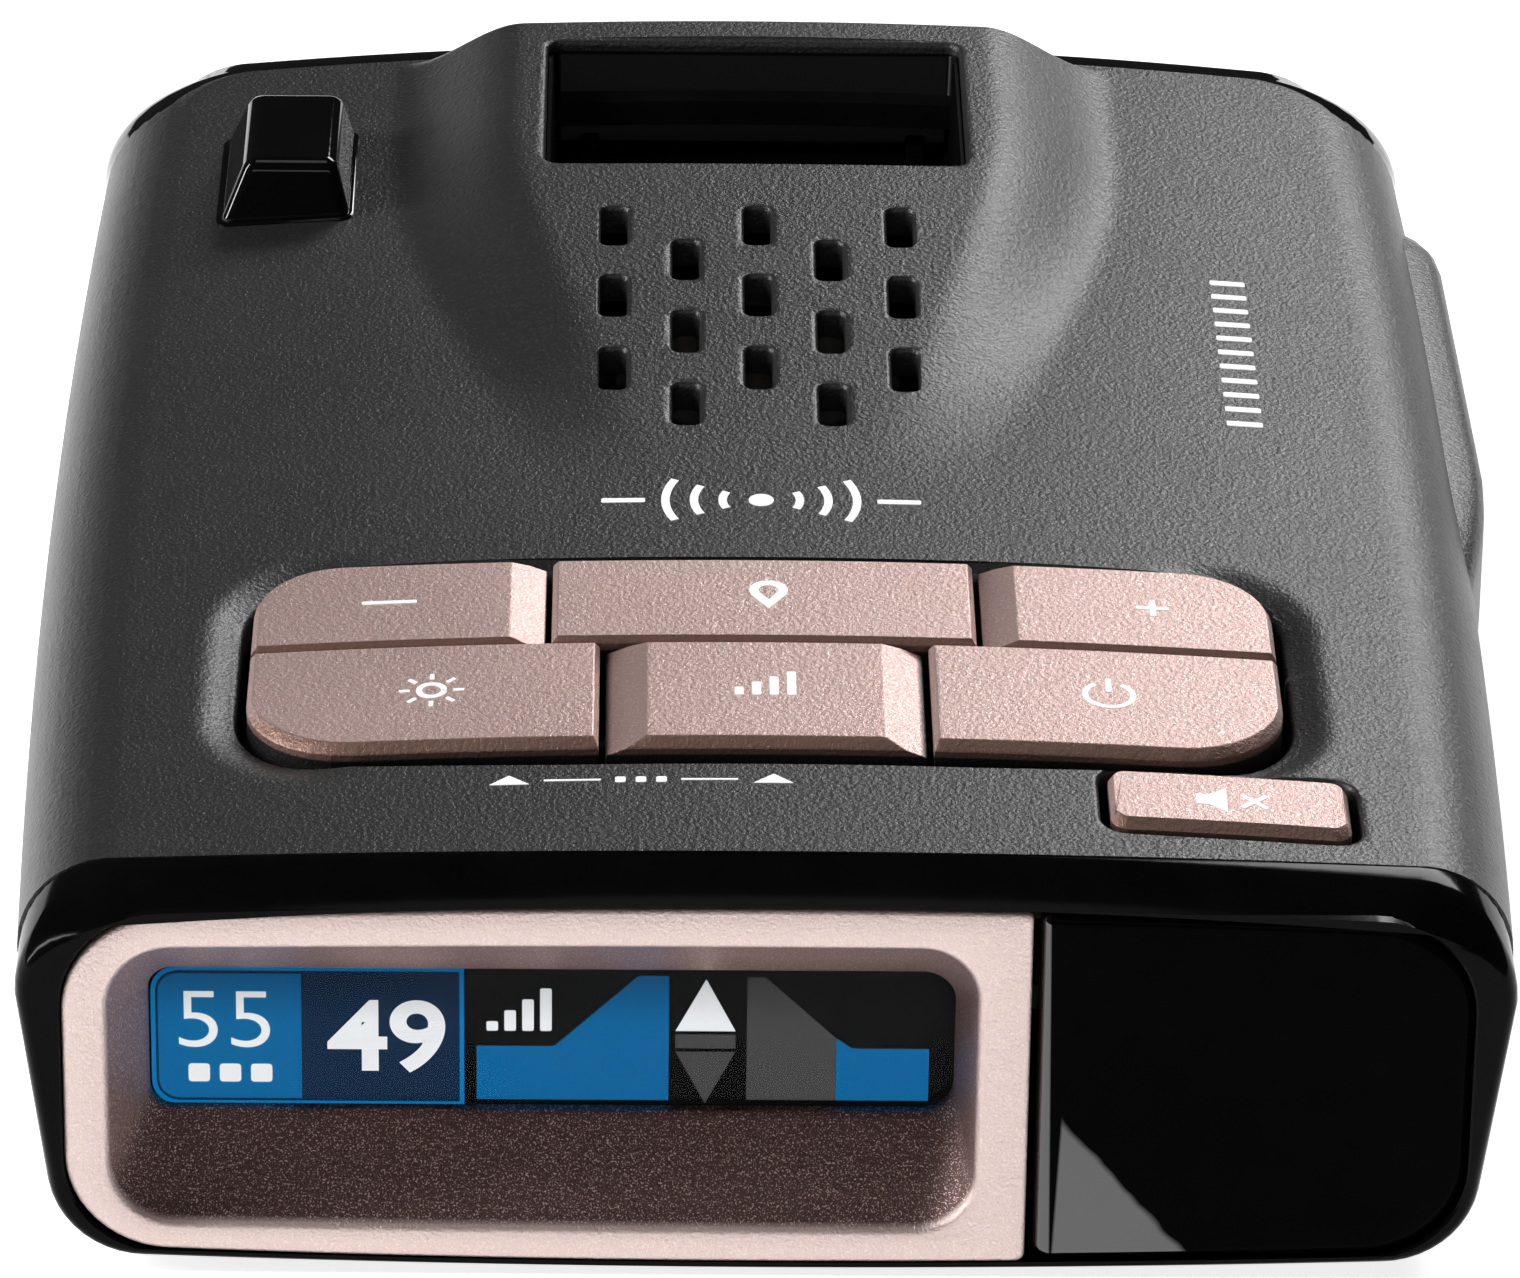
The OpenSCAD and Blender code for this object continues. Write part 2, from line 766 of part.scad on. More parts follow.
module case_screws() color([0.3, 0.3, 0.32]) {
    for (p = boss_spots)
        translate([p[0], p[1], 1.5])
            difference() {
                union() {
                    translate([0, 0, 0.7])
                        cylinder(r = 2.4, h = 1.75, $fn = 48);
                    translate([0, 0, 2.3])
                        cylinder(r = 1.25, h = 11.9, $fn = 48);
                    cylinder(r = 0.93, h = 18.6, $fn = 48);
                }
                translate([0, 0, -1])
                    cylinder(r = 1.3, h = 2.7, $fn = 48);
                translate([-1.5, -0.25, 0])
                    cube([3, 0.5, 1.7]);
                translate([-0.25, -1.5, 0])
                    cube([0.5, 3, 1.7]);
            }
}

module board_screws() color([0.75, 0.75, 0.78]) {
    for (p = post_spots)
        translate([p[0], p[1], board_z + board_t + 0.02])
            difference() {
                union() {
                    cylinder(r = 2.0, h = 1.2, $fn = 48);
                    translate([0, 0, -5.5])
                        cylinder(r = 0.78, h = 6, $fn = 48);
                }
                translate([-1.2, -0.2, 0.5])
                    cube([2.4, 0.4, 2]);
                translate([-0.2, -1.2, 0.5])
                    cube([0.4, 2.4, 2]);
            }
}

module foot_pads() color([0.08, 0.08, 0.08]) {
    for (p = [[-27, 14], [27, 14], [-27, 97], [27, 97]])
        translate([p[0], p[1], 0])
            cylinder(r = 4, h = under_z - 0.01, $fn = 64);
}

module rating_label() color([0.8, 0.8, 0.8]) {
    translate([-18, 42, under_z - 0.16])
        cube([36, 24, 0.15]);
}

module in_place() {
    translate([-side_shift, -body_l / 2, 0])
        children();
}

in_place() top_shell();
in_place() bottom_shell();
in_place() front_frame();
in_place() display_bezel();
in_place() display_window();
in_place() display_module();
in_place() display_board();
in_place() sensor_window();
in_place() rear_window();
in_place() laser_turret();
in_place() jack_housing();
in_place() key_minus();
in_place() key_mark();
in_place() key_plus();
in_place() key_brightness();
in_place() key_sensitivity();
in_place() key_power();
in_place() key_mute();
in_place() key_membrane();
in_place() key_switches();
in_place() key_board();
in_place() key_board_spacers();
in_place() mount_pocket();
in_place() mount_magnets();
in_place() speaker_frame();
in_place() speaker_cone();
in_place() speaker_gasket();
in_place() main_board();
in_place() radar_horn();
in_place() rf_shield();
in_place() laser_sensor_ahead();
in_place() laser_sensor_behind();
in_place() gps_antenna();
in_place() power_inlet();
in_place() usb_inlet();
in_place() case_screws();
in_place() board_screws();
in_place() foot_pads();
in_place() rating_label();
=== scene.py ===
import json
import math
from contextlib import contextmanager
import bpy
import bmesh
from mathutils import Matrix, Vector

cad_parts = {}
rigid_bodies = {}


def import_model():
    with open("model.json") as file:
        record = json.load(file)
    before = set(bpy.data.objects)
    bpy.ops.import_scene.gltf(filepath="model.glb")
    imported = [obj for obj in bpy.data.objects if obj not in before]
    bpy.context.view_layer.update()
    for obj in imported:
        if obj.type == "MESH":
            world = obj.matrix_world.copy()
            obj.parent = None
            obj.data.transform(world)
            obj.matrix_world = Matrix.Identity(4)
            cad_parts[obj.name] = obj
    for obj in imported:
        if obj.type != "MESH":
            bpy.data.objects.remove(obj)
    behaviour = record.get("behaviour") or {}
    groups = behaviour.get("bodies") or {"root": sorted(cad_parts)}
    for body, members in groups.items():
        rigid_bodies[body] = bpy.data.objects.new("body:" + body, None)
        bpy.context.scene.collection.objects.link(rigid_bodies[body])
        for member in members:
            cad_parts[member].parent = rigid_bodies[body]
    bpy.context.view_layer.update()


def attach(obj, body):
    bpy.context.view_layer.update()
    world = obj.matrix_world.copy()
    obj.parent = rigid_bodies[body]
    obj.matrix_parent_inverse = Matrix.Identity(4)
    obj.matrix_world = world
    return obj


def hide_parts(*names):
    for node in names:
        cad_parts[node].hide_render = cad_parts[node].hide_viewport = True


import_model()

# ---------------------------------------------------------------- sizes, mm
SIDE_SHIFT, HALF_LENGTH = 0.65, 55.5
ROOF_Z, CROWN_R = 24.7, 430.0
SHOULDER_R, KEEL_R = 6.0, 5.5
PART_Z = 17.0
FRONT_Y, REAR_Y = 5.0, 108.6
FRONT_BOW, REAR_BOW = 940.0, 1400.0
CORNER_R = 5.6
LEAN = math.radians(3)
WALL = 1.9
FACING = "facing"


def at(x, y, z):
    """Design millimetres to the frame's metres."""
    return ((x - SIDE_SHIFT) * 1e-3, (y - HALF_LENGTH) * 1e-3, z * 1e-3)


def on_face(x, depth, up):
    """A point on the leaning display face: right, into the face, up."""
    c, s = math.cos(LEAN), math.sin(LEAN)
    return (x, depth * c + up * s, up * c - depth * s)


def ease(t):
    t = min(1.0, max(0.0, t))
    return t * t * (3 - 2 * t)


def mix(a, b, t):
    return a + (b - a) * t


def roof(x):
    return ROOF_Z - x * x / (2 * CROWN_R)


def half_width(y):
    return 42.9 - 1.45 * ((y - 60) / 60) ** 2


def hump_foot(y):
    return 12 + 11.5 * ease((y - 32) / 62)


def hump(x, y):
    rise = 3.3 * ease((y - 46) / 42)
    side = ease((hump_foot(y) - abs(x)) / 8.5)
    t = min(1.0, max(0.0, (y - 106.3) / 1.4))
    end = math.sqrt(max(0.0, 1 - t * t)) if t < 1 else 0.0
    return rise * side * end


# ---------------------------------------------------------------- outlines
def arc(cx, cz, r, a0, a1, n):
    out = []
    for i in range(n + 1):
        a = math.radians(a0 + (a1 - a0) * i / n)
        out.append((cx + r * math.cos(a), cz + r * math.sin(a)))
    return out


def rounded(x0, x1, y0, y1, rs, n=6, span=0, bow=0.0):
    """Rounded rectangle, anticlockwise from the lower left corner; rs is one
    radius for each corner, span adds points along the long edges, and bow
    bends the long edges outwards in the middle."""
    r = rs if isinstance(rs, (tuple, list)) else (rs,) * 4
    pts = []
    corners = ((x0 + r[0], y0 + r[0], r[0], 180), (x1 - r[1], y0 + r[1], r[1], 270),
               (x1 - r[2], y1 - r[2], r[2], 0), (x0 + r[3], y1 - r[3], r[3], 90))
    for k, (cx, cy, rad, a) in enumerate(corners):
        pts += arc(cx, cy, rad, a, a + 90, n)
        if span and k in (0, 2):
            nx, ny, nr = corners[k + 1][:3]
            xa, ya = pts[-1]
            xb, yb = nx, (ny - nr if k == 0 else ny + nr)
            pts += [(mix(xa, xb, i / span), mix(ya, yb, i / span)) for i in range(1, span)]
    if bow:
        mid = (y0 + y1) / 2
        pts = [(x, y + (1 if y < mid else -1) * min(1.0, abs(y - mid) / (mid - y0 - max(r)))
                * x * x * bow) if abs(y - mid) > 0 else (x, y) for x, y in pts]
    return pts


def body_ring(hw, under, grow=0.0, n=8, roof_n=20, top=0.0):
    """Section of the body, clockwise seen from the display end, with normals."""
    sr, kr = SHOULDER_R + grow, KEEL_R + grow
    sx, kx = hw - SHOULDER_R, hw - 1.5 - KEEL_R
    sz, kz = roof(sx) - top - SHOULDER_R, under + 0.6 + KEEL_R
    pts = []

    def corner(cx, cz, r, start, sweep):
        for i in range(n + 1):
            a = math.radians(start - sweep * i / n)
            pts.append((cx + r * math.cos(a), cz + r * math.sin(a), math.cos(a), math.sin(a)))

    corner(-sx, sz, sr, 180, 85)
    for i in range(1, roof_n):
        x = -sx + 2 * sx * i / roof_n
        pts.append((x, roof(x) - top + grow, x / CROWN_R, 1.0))
    corner(sx, sz, sr, 85, 85)
    corner(kx, kz, kr, -8, 82)
    for i in range(1, roof_n):
        x = kx - 2 * kx * i / roof_n
        pts.append((x, under + 0.6 * (x / kx) ** 2 - grow, 0.0, -1.0))
    corner(-kx, kz, kr, -90, 82)
    return pts


def circle(px, py, r, n):
    return [(px + r * math.cos(2 * math.pi * k / n), py + r * math.sin(2 * math.pi * k / n)) for k in range(n)]


def stack(outlines):
    """Flat loops at their own heights, from (outline, z) pairs."""
    return [[(x, y, z) for x, y in outline] for outline, z in outlines]


# ---------------------------------------------------------------- mesh tools
def placed(name, data):
    """A new object in the scene."""
    ob = bpy.data.objects.new(name, data)
    bpy.context.scene.collection.objects.link(ob)
    return ob


@contextmanager
def edited(me, load=True):
    """The mesh as a bmesh, written back at the end."""
    bm = bmesh.new()
    if load:
        bm.from_mesh(me)
    yield bm
    bm.to_mesh(me)
    bm.free()


def mesh_object(name, verts, faces, angle=32):
    """A mesh object from design millimetres, with closed outward faces."""
    me = bpy.data.meshes.new(name)
    me.from_pydata([at(*v) for v in verts], [], faces)
    with edited(me) as bm:
        bmesh.ops.remove_doubles(bm, verts=bm.verts, dist=2e-7)
        bmesh.ops.recalc_face_normals(bm, faces=bm.faces)
    smooth(me, angle)
    return placed(name, me)


def smooth(me, angle=32):
    me.shade_smooth()
    me.set_sharp_from_angle(angle=math.radians(angle))


def loft(name, loops, close=True, angle=32, caps=True):
    """Skin between loops of the same length; close joins the last to the first."""
    n = len(loops[0])
    verts = [p for loop in loops for p in loop]
    faces = []
    steps = len(loops) if close else len(loops) - 1
    for k in range(steps):
        a, b = k * n, (k + 1) % len(loops) * n
        for i in range(n):
            j = (i + 1) % n
            faces.append((a + i, a + j, b + j, b + i))
    if not close and caps:
        faces.append(tuple(range(n)))
        faces.append(tuple(range((len(loops) - 1) * n, len(loops) * n)))
    return mesh_object(name, verts, faces, angle)


def turned(name, px, py, profile, sides=48):
    """A solid of revolution from (radius, height) pairs."""
    return loft(name, stack([(circle(px, py, r, sides), z) for r, z in profile]), close=False)


def prism(name, outline, z0, z1, angle=32):
    return loft(name, stack([(outline, z0), (outline, z1)]), close=False, angle=angle)


def applied(ob, angle=None):
    """Turn the object's modifiers into plain mesh."""
    graph = bpy.context.evaluated_depsgraph_get()
    me = bpy.data.meshes.new_from_object(ob.evaluated_get(graph))
    old = ob.data
    ob.modifiers.clear()
    ob.data = me
    if old.users == 0:
        bpy.data.meshes.remove(old)
    if angle is not None:
        smooth(ob.data, angle)
    return ob


def joined(name, obs):
    me = bpy.data.meshes.new(name)
    with edited(me, False) as bm:
        for ob in obs:
            bm.from_mesh(ob.data)
    for ob in obs:
        bpy.data.objects.remove(ob)
    return placed(name, me)


def cut(ob, cutters, angle=32):
    tool = joined("cutter", cutters)
    mod = ob.modifiers.new("cut", "BOOLEAN")
    mod.operation = "DIFFERENCE"
    mod.solver = "EXACT"
    mod.object = tool
    applied(ob, angle)
    bpy.data.objects.remove(tool)
    return ob


def weighted(ob):
    mod = ob.modifiers.new("normals", "WEIGHTED_NORMAL")
    mod.keep_sharp = True
    return applied(ob)


def bevelled(ob, width, segments=3):
    """Rounded edges, width in millimetres."""
    mod = ob.modifiers.new("edge", "BEVEL")
    mod.width = width * 1e-3
    mod.segments = segments
    mod.limit_method = "ANGLE"
    mod.angle_limit = math.radians(30)
    mod.use_clamp_overlap = True
    applied(ob, 35)
    return weighted(ob)


def repeated(name, piece, across, along, finish):
    """Copies of one piece in rows: across and along are (count, spacing in mm)."""
    tree = bpy.data.node_groups.new(name + "_rows", "GeometryNodeTree")
    made = {}
    for label, kind in (("Copies Across", "NodeSocketInt"), ("Copies Along", "NodeSocketInt"),
                        ("Spacing Across", "NodeSocketFloat"), ("Spacing Along", "NodeSocketFloat"),
                        ("Piece", "NodeSocketObject"), ("Finish", "NodeSocketMaterial")):
        made[label] = tree.interface.new_socket(label, in_out="INPUT", socket_type=kind).identifier
    tree.interface.new_socket("Geometry", in_out="OUTPUT", socket_type="NodeSocketGeometry")
    add, link = tree.nodes.new, tree.links.new
    given = add("NodeGroupInput")
    lines = []
    for axis, count, gap in (("X", "Copies Across", "Spacing Across"), ("Y", "Copies Along", "Spacing Along")):
        line, offset = add("GeometryNodeMeshLine"), add("ShaderNodeCombineXYZ")
        line.mode = "OFFSET"
        link(given.outputs[gap], offset.inputs[axis])
        link(given.outputs[count], line.inputs["Count"])
        link(offset.outputs[0], line.inputs["Offset"])
        lines.append(line)
    places, spread = add("GeometryNodeInstanceOnPoints"), add("GeometryNodeRealizeInstances")
    link(lines[0].outputs[0], places.inputs["Points"])
    link(lines[1].outputs[0], places.inputs["Instance"])
    link(places.outputs[0], spread.inputs[0])
    source, copies = add("GeometryNodeObjectInfo"), add("GeometryNodeInstanceOnPoints")
    link(given.outputs["Piece"], source.inputs["Object"])
    link(spread.outputs[0], copies.inputs["Points"])
    link(source.outputs["Geometry"], copies.inputs["Instance"])
    whole, painted, out = (add("GeometryNodeRealizeInstances"), add("GeometryNodeSetMaterial"),
                           add("NodeGroupOutput"))
    link(copies.outputs[0], whole.inputs[0])
    link(whole.outputs[0], painted.inputs["Geometry"])
    link(given.outputs["Finish"], painted.inputs["Material"])
    link(painted.outputs[0], out.inputs[0])
    ob = placed(name, bpy.data.meshes.new(name))
    mod = ob.modifiers.new("rows", "NODES")
    mod.node_group = tree
    for label, value in (("Copies Across", across[0]), ("Copies Along", along[0]),
                         ("Spacing Across", across[1] * 1e-3), ("Spacing Along", along[1] * 1e-3),
                         ("Piece", piece), ("Finish", finish)):
        mod[made[label]] = value
    applied(ob, 35)
    bpy.data.objects.remove(piece)
    return ob


def finish_piece(ob, material, body="housing", nodes=()):
    """Material, body and replaced nodes of a finished piece."""
    ob.data.materials.clear()
    ob.data.materials.append(material)
    for poly in ob.data.polygons:
        poly.material_index = 0
    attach(ob, body)
    if nodes:
        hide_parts(*nodes)
    return ob


def keep_facing(ob):
    """Store the way each corner faces, for materials that paint shade by it."""
    store = ob.data.attributes.new(FACING, "FLOAT_VECTOR", "CORNER")
    store.data.foreach_set("vector", [c for n in ob.data.corner_normals for c in n.vector])
    return ob


# ---------------------------------------------------------------- materials
class Field:
    """A shader socket that takes part in arithmetic."""

    def __init__(self, paint, socket):
        self.paint, self.socket = paint, socket

    def do(self, op, *others, clamp=False):
        node = self.paint.tree.nodes.new("ShaderNodeMath")
        node.operation = op
        node.use_clamp = clamp
        for slot, value in zip(node.inputs, (self,) + others):
            self.paint.feed(slot, value)
        return Field(self.paint, node.outputs[0])

    def __add__(self, o): return self.do("ADD", o)
    def __sub__(self, o): return self.do("SUBTRACT", o)
    def __mul__(self, o): return self.do("MULTIPLY", o)
    def __truediv__(self, o): return self.do("DIVIDE", o)
    __radd__, __rmul__ = __add__, __mul__
    def __rsub__(self, o): return (self * -1.0) + o
    def clamp(self): return self.do("MULTIPLY", 1.0, clamp=True)
    def above(self, edge, width): return ((self - (edge - width / 2)) / width).clamp()


class Paint:
    """One procedural material, in millimetres of the object's own frame."""

    def __init__(self, name, **shader):
        self.material = bpy.data.materials.new(name)
        self.material.use_nodes = True
        self.tree = self.material.node_tree
        self.shader = self.tree.nodes["Principled BSDF"]
        for key, value in shader.items():
            self.shader.inputs[key.replace("_", " ")].default_value = value
        coord = self.tree.nodes.new("ShaderNodeTexCoord")
        self.mm = self.node("ShaderNodeVectorMath", {"operation": "SCALE"},
                            {0: coord.outputs["Object"], "Scale": 1000.0})

    def feed(self, slot, value):
        if isinstance(value, Field):
            value = value.socket
        if isinstance(value, bpy.types.NodeSocket):
            self.tree.links.new(value, slot)
        elif value is not None:
            slot.default_value = value

    def node(self, kind, settings=None, sockets=None, out=0):
        node = self.tree.nodes.new(kind)
        for key, value in (settings or {}).items():
            setattr(node, key, value)
        for key, value in (sockets or {}).items():
            self.feed(node.inputs[key], value)
        return Field(self, node.outputs[out])

    def noise(self, per_mm, detail=2.0, rough=0.5, where=None, distort=0.0):
        return self.node("ShaderNodeTexNoise", {}, {
            "Vector": where or self.mm, "Scale": per_mm, "Detail": detail,
            "Roughness": rough, "Distortion": distort})

    def cells(self, per_mm, feature="F1", where=None):
        return self.node("ShaderNodeTexVoronoi", {"feature": feature},
                         {"Vector": where or self.mm, "Scale": per_mm})

    def stretched(self, scale):
        return self.node("ShaderNodeMapping", {}, {"Vector": self.mm, "Scale": scale})

    def split(self, vector, name):
        return self.node("ShaderNodeSeparateXYZ", {}, {0: vector}, "XYZ".index(name))

    def axis(self, name):
        return self.split(self.mm, name)

    def facing(self, name):
        """How far the surface faces along an axis, as keep_facing stored it."""
        return self.split(self.node("ShaderNodeAttribute", {"attribute_name": FACING}, out="Vector"), name)

    def blend(self, factor, a, b):
        return self.node("ShaderNodeMix", {"data_type": "RGBA"}, {0: factor, 6: a, 7: b}, 2)

    def bump(self, height, reach_mm):
        bent = self.node("ShaderNodeBump", {}, {"Strength": 1.0, "Distance": reach_mm * 1e-3, "Height": height})
        self.feed(self.shader.inputs["Normal"], bent)

    def set(self, **fields):
        for key, value in fields.items():
            self.feed(self.shader.inputs[key.replace("_", " ")], value)
        return self.material


def rgb(r, g, b):
    return (r, g, b, 1.0)


def grey(level, blue=1.0):
    return (level, level, level * blue, 1.0)


def leather(paint, per_mm):
    """Moulded leather grain: wandering creases between small raised cells."""
    wander = paint.noise(per_mm * 0.8, 1.0, 0.5)
    creases = paint.cells(per_mm, "SMOOTH_F1")
    fine = paint.noise(per_mm * 1.7, 2.0, 0.6, distort=0.6)
    return creases * 0.55 + fine * 0.7 + wander * 0.35


def shell_paint():
    p = Paint("charcoal_grain", Specular_IOR_Level=0.55)
    grain = leather(p, 3.6)
    tone = p.noise(0.05, 3.0, 0.6)
    speck = p.noise(4.0, 1.0, 0.5).above(0.6, 0.1)
    rub = p.noise(0.35, 4.0, 0.7).above(0.62, 0.2)
    colour = p.blend(tone, rgb(0.017, 0.017, 0.0175), rgb(0.025, 0.0245, 0.0245))
    colour = p.blend(speck * 0.35, colour, rgb(0.055, 0.053, 0.052))
    p.bump(grain, 0.06)
    return p.set(Base_Color=colour, Roughness=0.34 + tone * 0.06 + rub * 0.04)


def rose_paint(name, low, high, per_mm, reach, rough, metal, recess=False, gap_shade_top=24.55):
    """Grained rose metal: a recess gets painted shade, darkest where it faces up, and a key gets painted shade as a
    brown front chamfer and a black band low on its sides."""
    p = Paint(name, Specular_IOR_Level=0.5)
    grain = leather(p, per_mm)
    flake = p.cells(per_mm * 4.5, "F1")
    tint = p.noise(0.09, 3.0, 0.6)
    glint = p.noise(per_mm * 2.2, 1.0, 0.5).above(0.62, 0.06)
    colour = p.blend(tint, rgb(*low), rgb(*high))
    colour = p.blend(glint * 0.6, colour, rgb(0.88, 0.76, 0.72))
    p.bump(grain + flake * 0.22, reach)
    if recess:
        # Painted shade: inside the recess the colour is darker than on the face, and darkest where the surface
        # faces up.
        inside = (p.axis("Y") - p.axis("Z") * math.tan(LEAN) + (HALF_LENGTH - 0.16)).above(0.25, 0.3)
        upward_shade = p.facing("Z").above(0.2, 0.5)
        shade = p.blend(upward_shade, rgb(0.42, 0.275, 0.255), rgb(0.13, 0.078, 0.072))
        shade = p.blend(glint, shade, rgb(0.75, 0.57, 0.53))
        colour = p.blend(inside, colour, shade)
    else:
        # Painted shade: faces that turn towards the front are painted brown, for the shade on the front chamfer.
        edge = (p.facing("Y") * -1.0).above(0.2, 0.3)
        colour = p.blend(edge, colour, rgb(0.29, 0.175, 0.14))
        # Painted shade: low on the key's sides the paint turns black and not metallic, for the shade in the gap
        # around the key.
        x = p.axis("X") + SIDE_SHIFT
        height = p.axis("Z") + x * x / (2 * CROWN_R)
        skirt = 1.0 - height.above(gap_shade_top, 0.12)
        colour = p.blend(skirt, colour, rgb(0.006, 0.006, 0.006))
        metal = (1.0 - skirt) * metal
    return p.set(Base_Color=colour, Roughness=rough + tint * 0.08 - glint * 0.1,
                 Metallic=metal - tint * 0.08)


def gloss_paint(name="piano_black", base=0.004, rough=0.045, shine=0.5):
    p = Paint(name, Specular_IOR_Level=shine)
    swirl = p.noise(0.9, 4.0, 0.65)
    wear = p.noise(0.12, 5.0, 0.7).above(0.55, 0.35)
    hair = p.noise(1.0, 3.0, 0.5, p.stretched((6.0, 0.35, 0.6))).above(0.68, 0.03)
    p.bump(swirl, 0.0035)
    return p.set(Base_Color=p.blend(wear, grey(base, 1.05), grey(base * 1.9, 1.0526)),
                 Roughness=rough + wear * 0.03 + hair * 0.05)


def sensor_window_paint():
    """Smoked window: nearly black, with a clear coat only along its left and lower rim and in a patch at the lower
    left corner, as painted reflection.
    """
    p = Paint("sensor_window_black", Specular_IOR_Level=0.01, Coat_Roughness=0.03, Coat_IOR=1.95)
    from_left = p.axis("X") + (SIDE_SHIFT - 15.15)
    from_below = p.axis("Z") - 0.3
    wave = p.noise(0.3, 2.0, 0.5) * 1.2
    # Painted reflection: the coat is laid only where reflections should show.
    strip = 1.0 - (from_left + from_below * 0.02).above(0.85, 0.1)
    corner = 1.0 - (from_left * 1.02 + from_below * 0.86 + wave).above(10.3, 0.5)
    corner = corner * (from_left - from_below * 0.04).above(0.95, 0.15)
    rim = strip + corner * (from_below - from_left * 0.06).above(0.75, 0.15)
    smear = p.noise(0.5, 4.0, 0.7)
    p.bump(smear, 0.002)
    return p.set(Base_Color=p.blend(smear, rgb(0.0008, 0.0008, 0.001), rgb(0.0022, 0.0022, 0.0026)),
                 Roughness=0.03 + smear * 0.03, Coat_Weight=rim)


def plain_paint(name, low, high, rough, metal=0.0, per_mm=1.5, reach=0.02, stretch=None):
    p = Paint(name, Specular_IOR_Level=0.5)
    where = p.stretched(stretch) if stretch else p.mm
    a = p.noise(per_mm, 4.0, 0.6, where)
    b = p.noise(0.12, 3.0, 0.6)
    spot = p.cells(per_mm * 1.3, "F1", where)
    p.bump(a + spot * 0.3, reach)
    return p.set(Base_Color=p.blend(a * 0.6 + b * 0.4, rgb(*low), rgb(*high)),
                 Roughness=rough + b * 0.1 + a * 0.06, Metallic=metal)


def board_paint():
    p = Paint("solder_mask", Specular_IOR_Level=0.5)
    lanes = p.node("ShaderNodeTexBrick", {"offset": 0.37, "squash": 1.6}, {
        "Vector": p.mm, "Scale": 0.9, "Mortar Size": 0.035, "Brick Width": 1.9,
        "Row Height": 0.42}, out=1)
    pads = p.cells(0.42, "F1").above(0.16, 0.02)
    weave = p.noise(2.2, 3.0, 0.6)
    green = p.blend(weave, rgb(0.012, 0.075, 0.035), rgb(0.02, 0.11, 0.05))
    green = p.blend(lanes * 0.6, green, rgb(0.035, 0.17, 0.08))
    p.bump(lanes * 0.5 + pads, 0.03)
    return p.set(Base_Color=p.blend(pads, rgb(0.75, 0.62, 0.33), green),
                 Metallic=(1.0 - pads), Roughness=0.3 + weave * 0.15)


def print_paint():
    # Painted light: the print glows a little, so it reads white where little light falls on the top.
    p = Paint("white_print_painted_glow", Specular_IOR_Level=0.4, Emission_Strength=0.5)
    worn = p.noise(2.6, 4.0, 0.7)
    p.bump(p.noise(3.4, 2.0, 0.5), 0.02)
    return p.set(Emission_Color=p.blend(worn, grey(1.0), grey(0.8)),
                 Base_Color=p.blend(worn, grey(0.88), grey(0.72, 1.014)), Roughness=0.45 + worn * 0.15)


def lit_paint(name, colour, glow, dark=0.0):
    """A lit area of the display, a little dimmer towards its upper edge."""
    p = Paint(name, Specular_IOR_Level=0.0, Roughness=0.3)
    z = p.axis("Z")
    rows = p.noise(5.0, 1.0, 0.5)
    fall = (17.4 - z) / 4.6
    level = fall.clamp() * (1.0 - dark) + dark + rows * 0.04
    tint = rgb(*colour)
    p.set(Base_Color=p.blend(rows, rgb(*(c * 0.1 for c in colour)), rgb(*(c * 0.13 for c in colour))),
          Emission_Color=p.blend(level, rgb(0, 0, 0), tint), Roughness=0.3 + rows * 0.05)
    p.shader.inputs["Emission Strength"].default_value = glow
    return p.material


def clear_paint():
    p = Paint("clear_window", Specular_IOR_Level=0.5)
    haze = p.noise(0.6, 4.0, 0.7)
    p.bump(haze, 0.001)
    return p.set(Base_Color=p.blend(haze, rgb(0.01, 0.011, 0.013), rgb(0.016, 0.017, 0.02)),
                 Roughness=0.03 + haze * 0.03, Alpha=0.055 + haze * 0.02)


SHELL = shell_paint()
KEY_LOOK = ((0.56, 0.385, 0.355), (0.62, 0.435, 0.405), 3.5, 0.05, 0.41, 0.72)
KEY_ROSE = rose_paint("rose_key_grain", *KEY_LOOK)
MUTE_ROSE = rose_paint("rose_mute_grain", *KEY_LOOK, gap_shade_top=24.1)
BEZEL_ROSE = rose_paint("rose_bezel_grain", (0.69, 0.54, 0.51), (0.77, 0.62, 0.585), 4.6, 0.055, 0.36, 0.85,
                        recess=True)
GLOSS = gloss_paint()
FRAME_GLOSS = gloss_paint("frame_black", 0.002, 0.12, 0.05)
SENSOR_GLOSS = sensor_window_paint()
TURRET_GLOSS = gloss_paint("turret_black", 0.002, 0.04, 0.3)
LINER = gloss_paint("pocket_black", 0.0015, 0.3, 0.08)
PRINT = print_paint()
CLEAR = clear_paint()
SCREEN = lit_paint("screen_dark", (0.002, 0.002, 0.0022), 1.0, 0.2)
BLUE = lit_paint("screen_blue", (0.0, 0.122, 0.32), 1.05, 0.16)
BRIGHT_BLUE = lit_paint("screen_bright_blue", (0.0, 0.16, 0.42), 1.1, 0.35)
NAVY = lit_paint("screen_navy", (0.004, 0.02, 0.053), 1.05, 0.2)
WHITE_LIT = lit_paint("screen_white", (0.82, 0.84, 0.86), 1.05, 0.35)
GREY_LIT = lit_paint("screen_grey", (0.06, 0.06, 0.061), 1.0, 0.2)
BOARD = board_paint()
RUBBER = plain_paint("black_rubber", (0.012, 0.012, 0.012), (0.022, 0.022, 0.022), 0.6, 0, 1.8, 0.03)
TIN = plain_paint("tin_plate", (0.5, 0.5, 0.49), (0.68, 0.68, 0.66), 0.25, 0.95, 1.2, 0.01,
                  (0.4, 3.0, 1.0))
CAST = plain_paint("die_cast_metal", (0.42, 0.43, 0.44), (0.6, 0.6, 0.61), 0.38, 0.95, 2.0, 0.03)
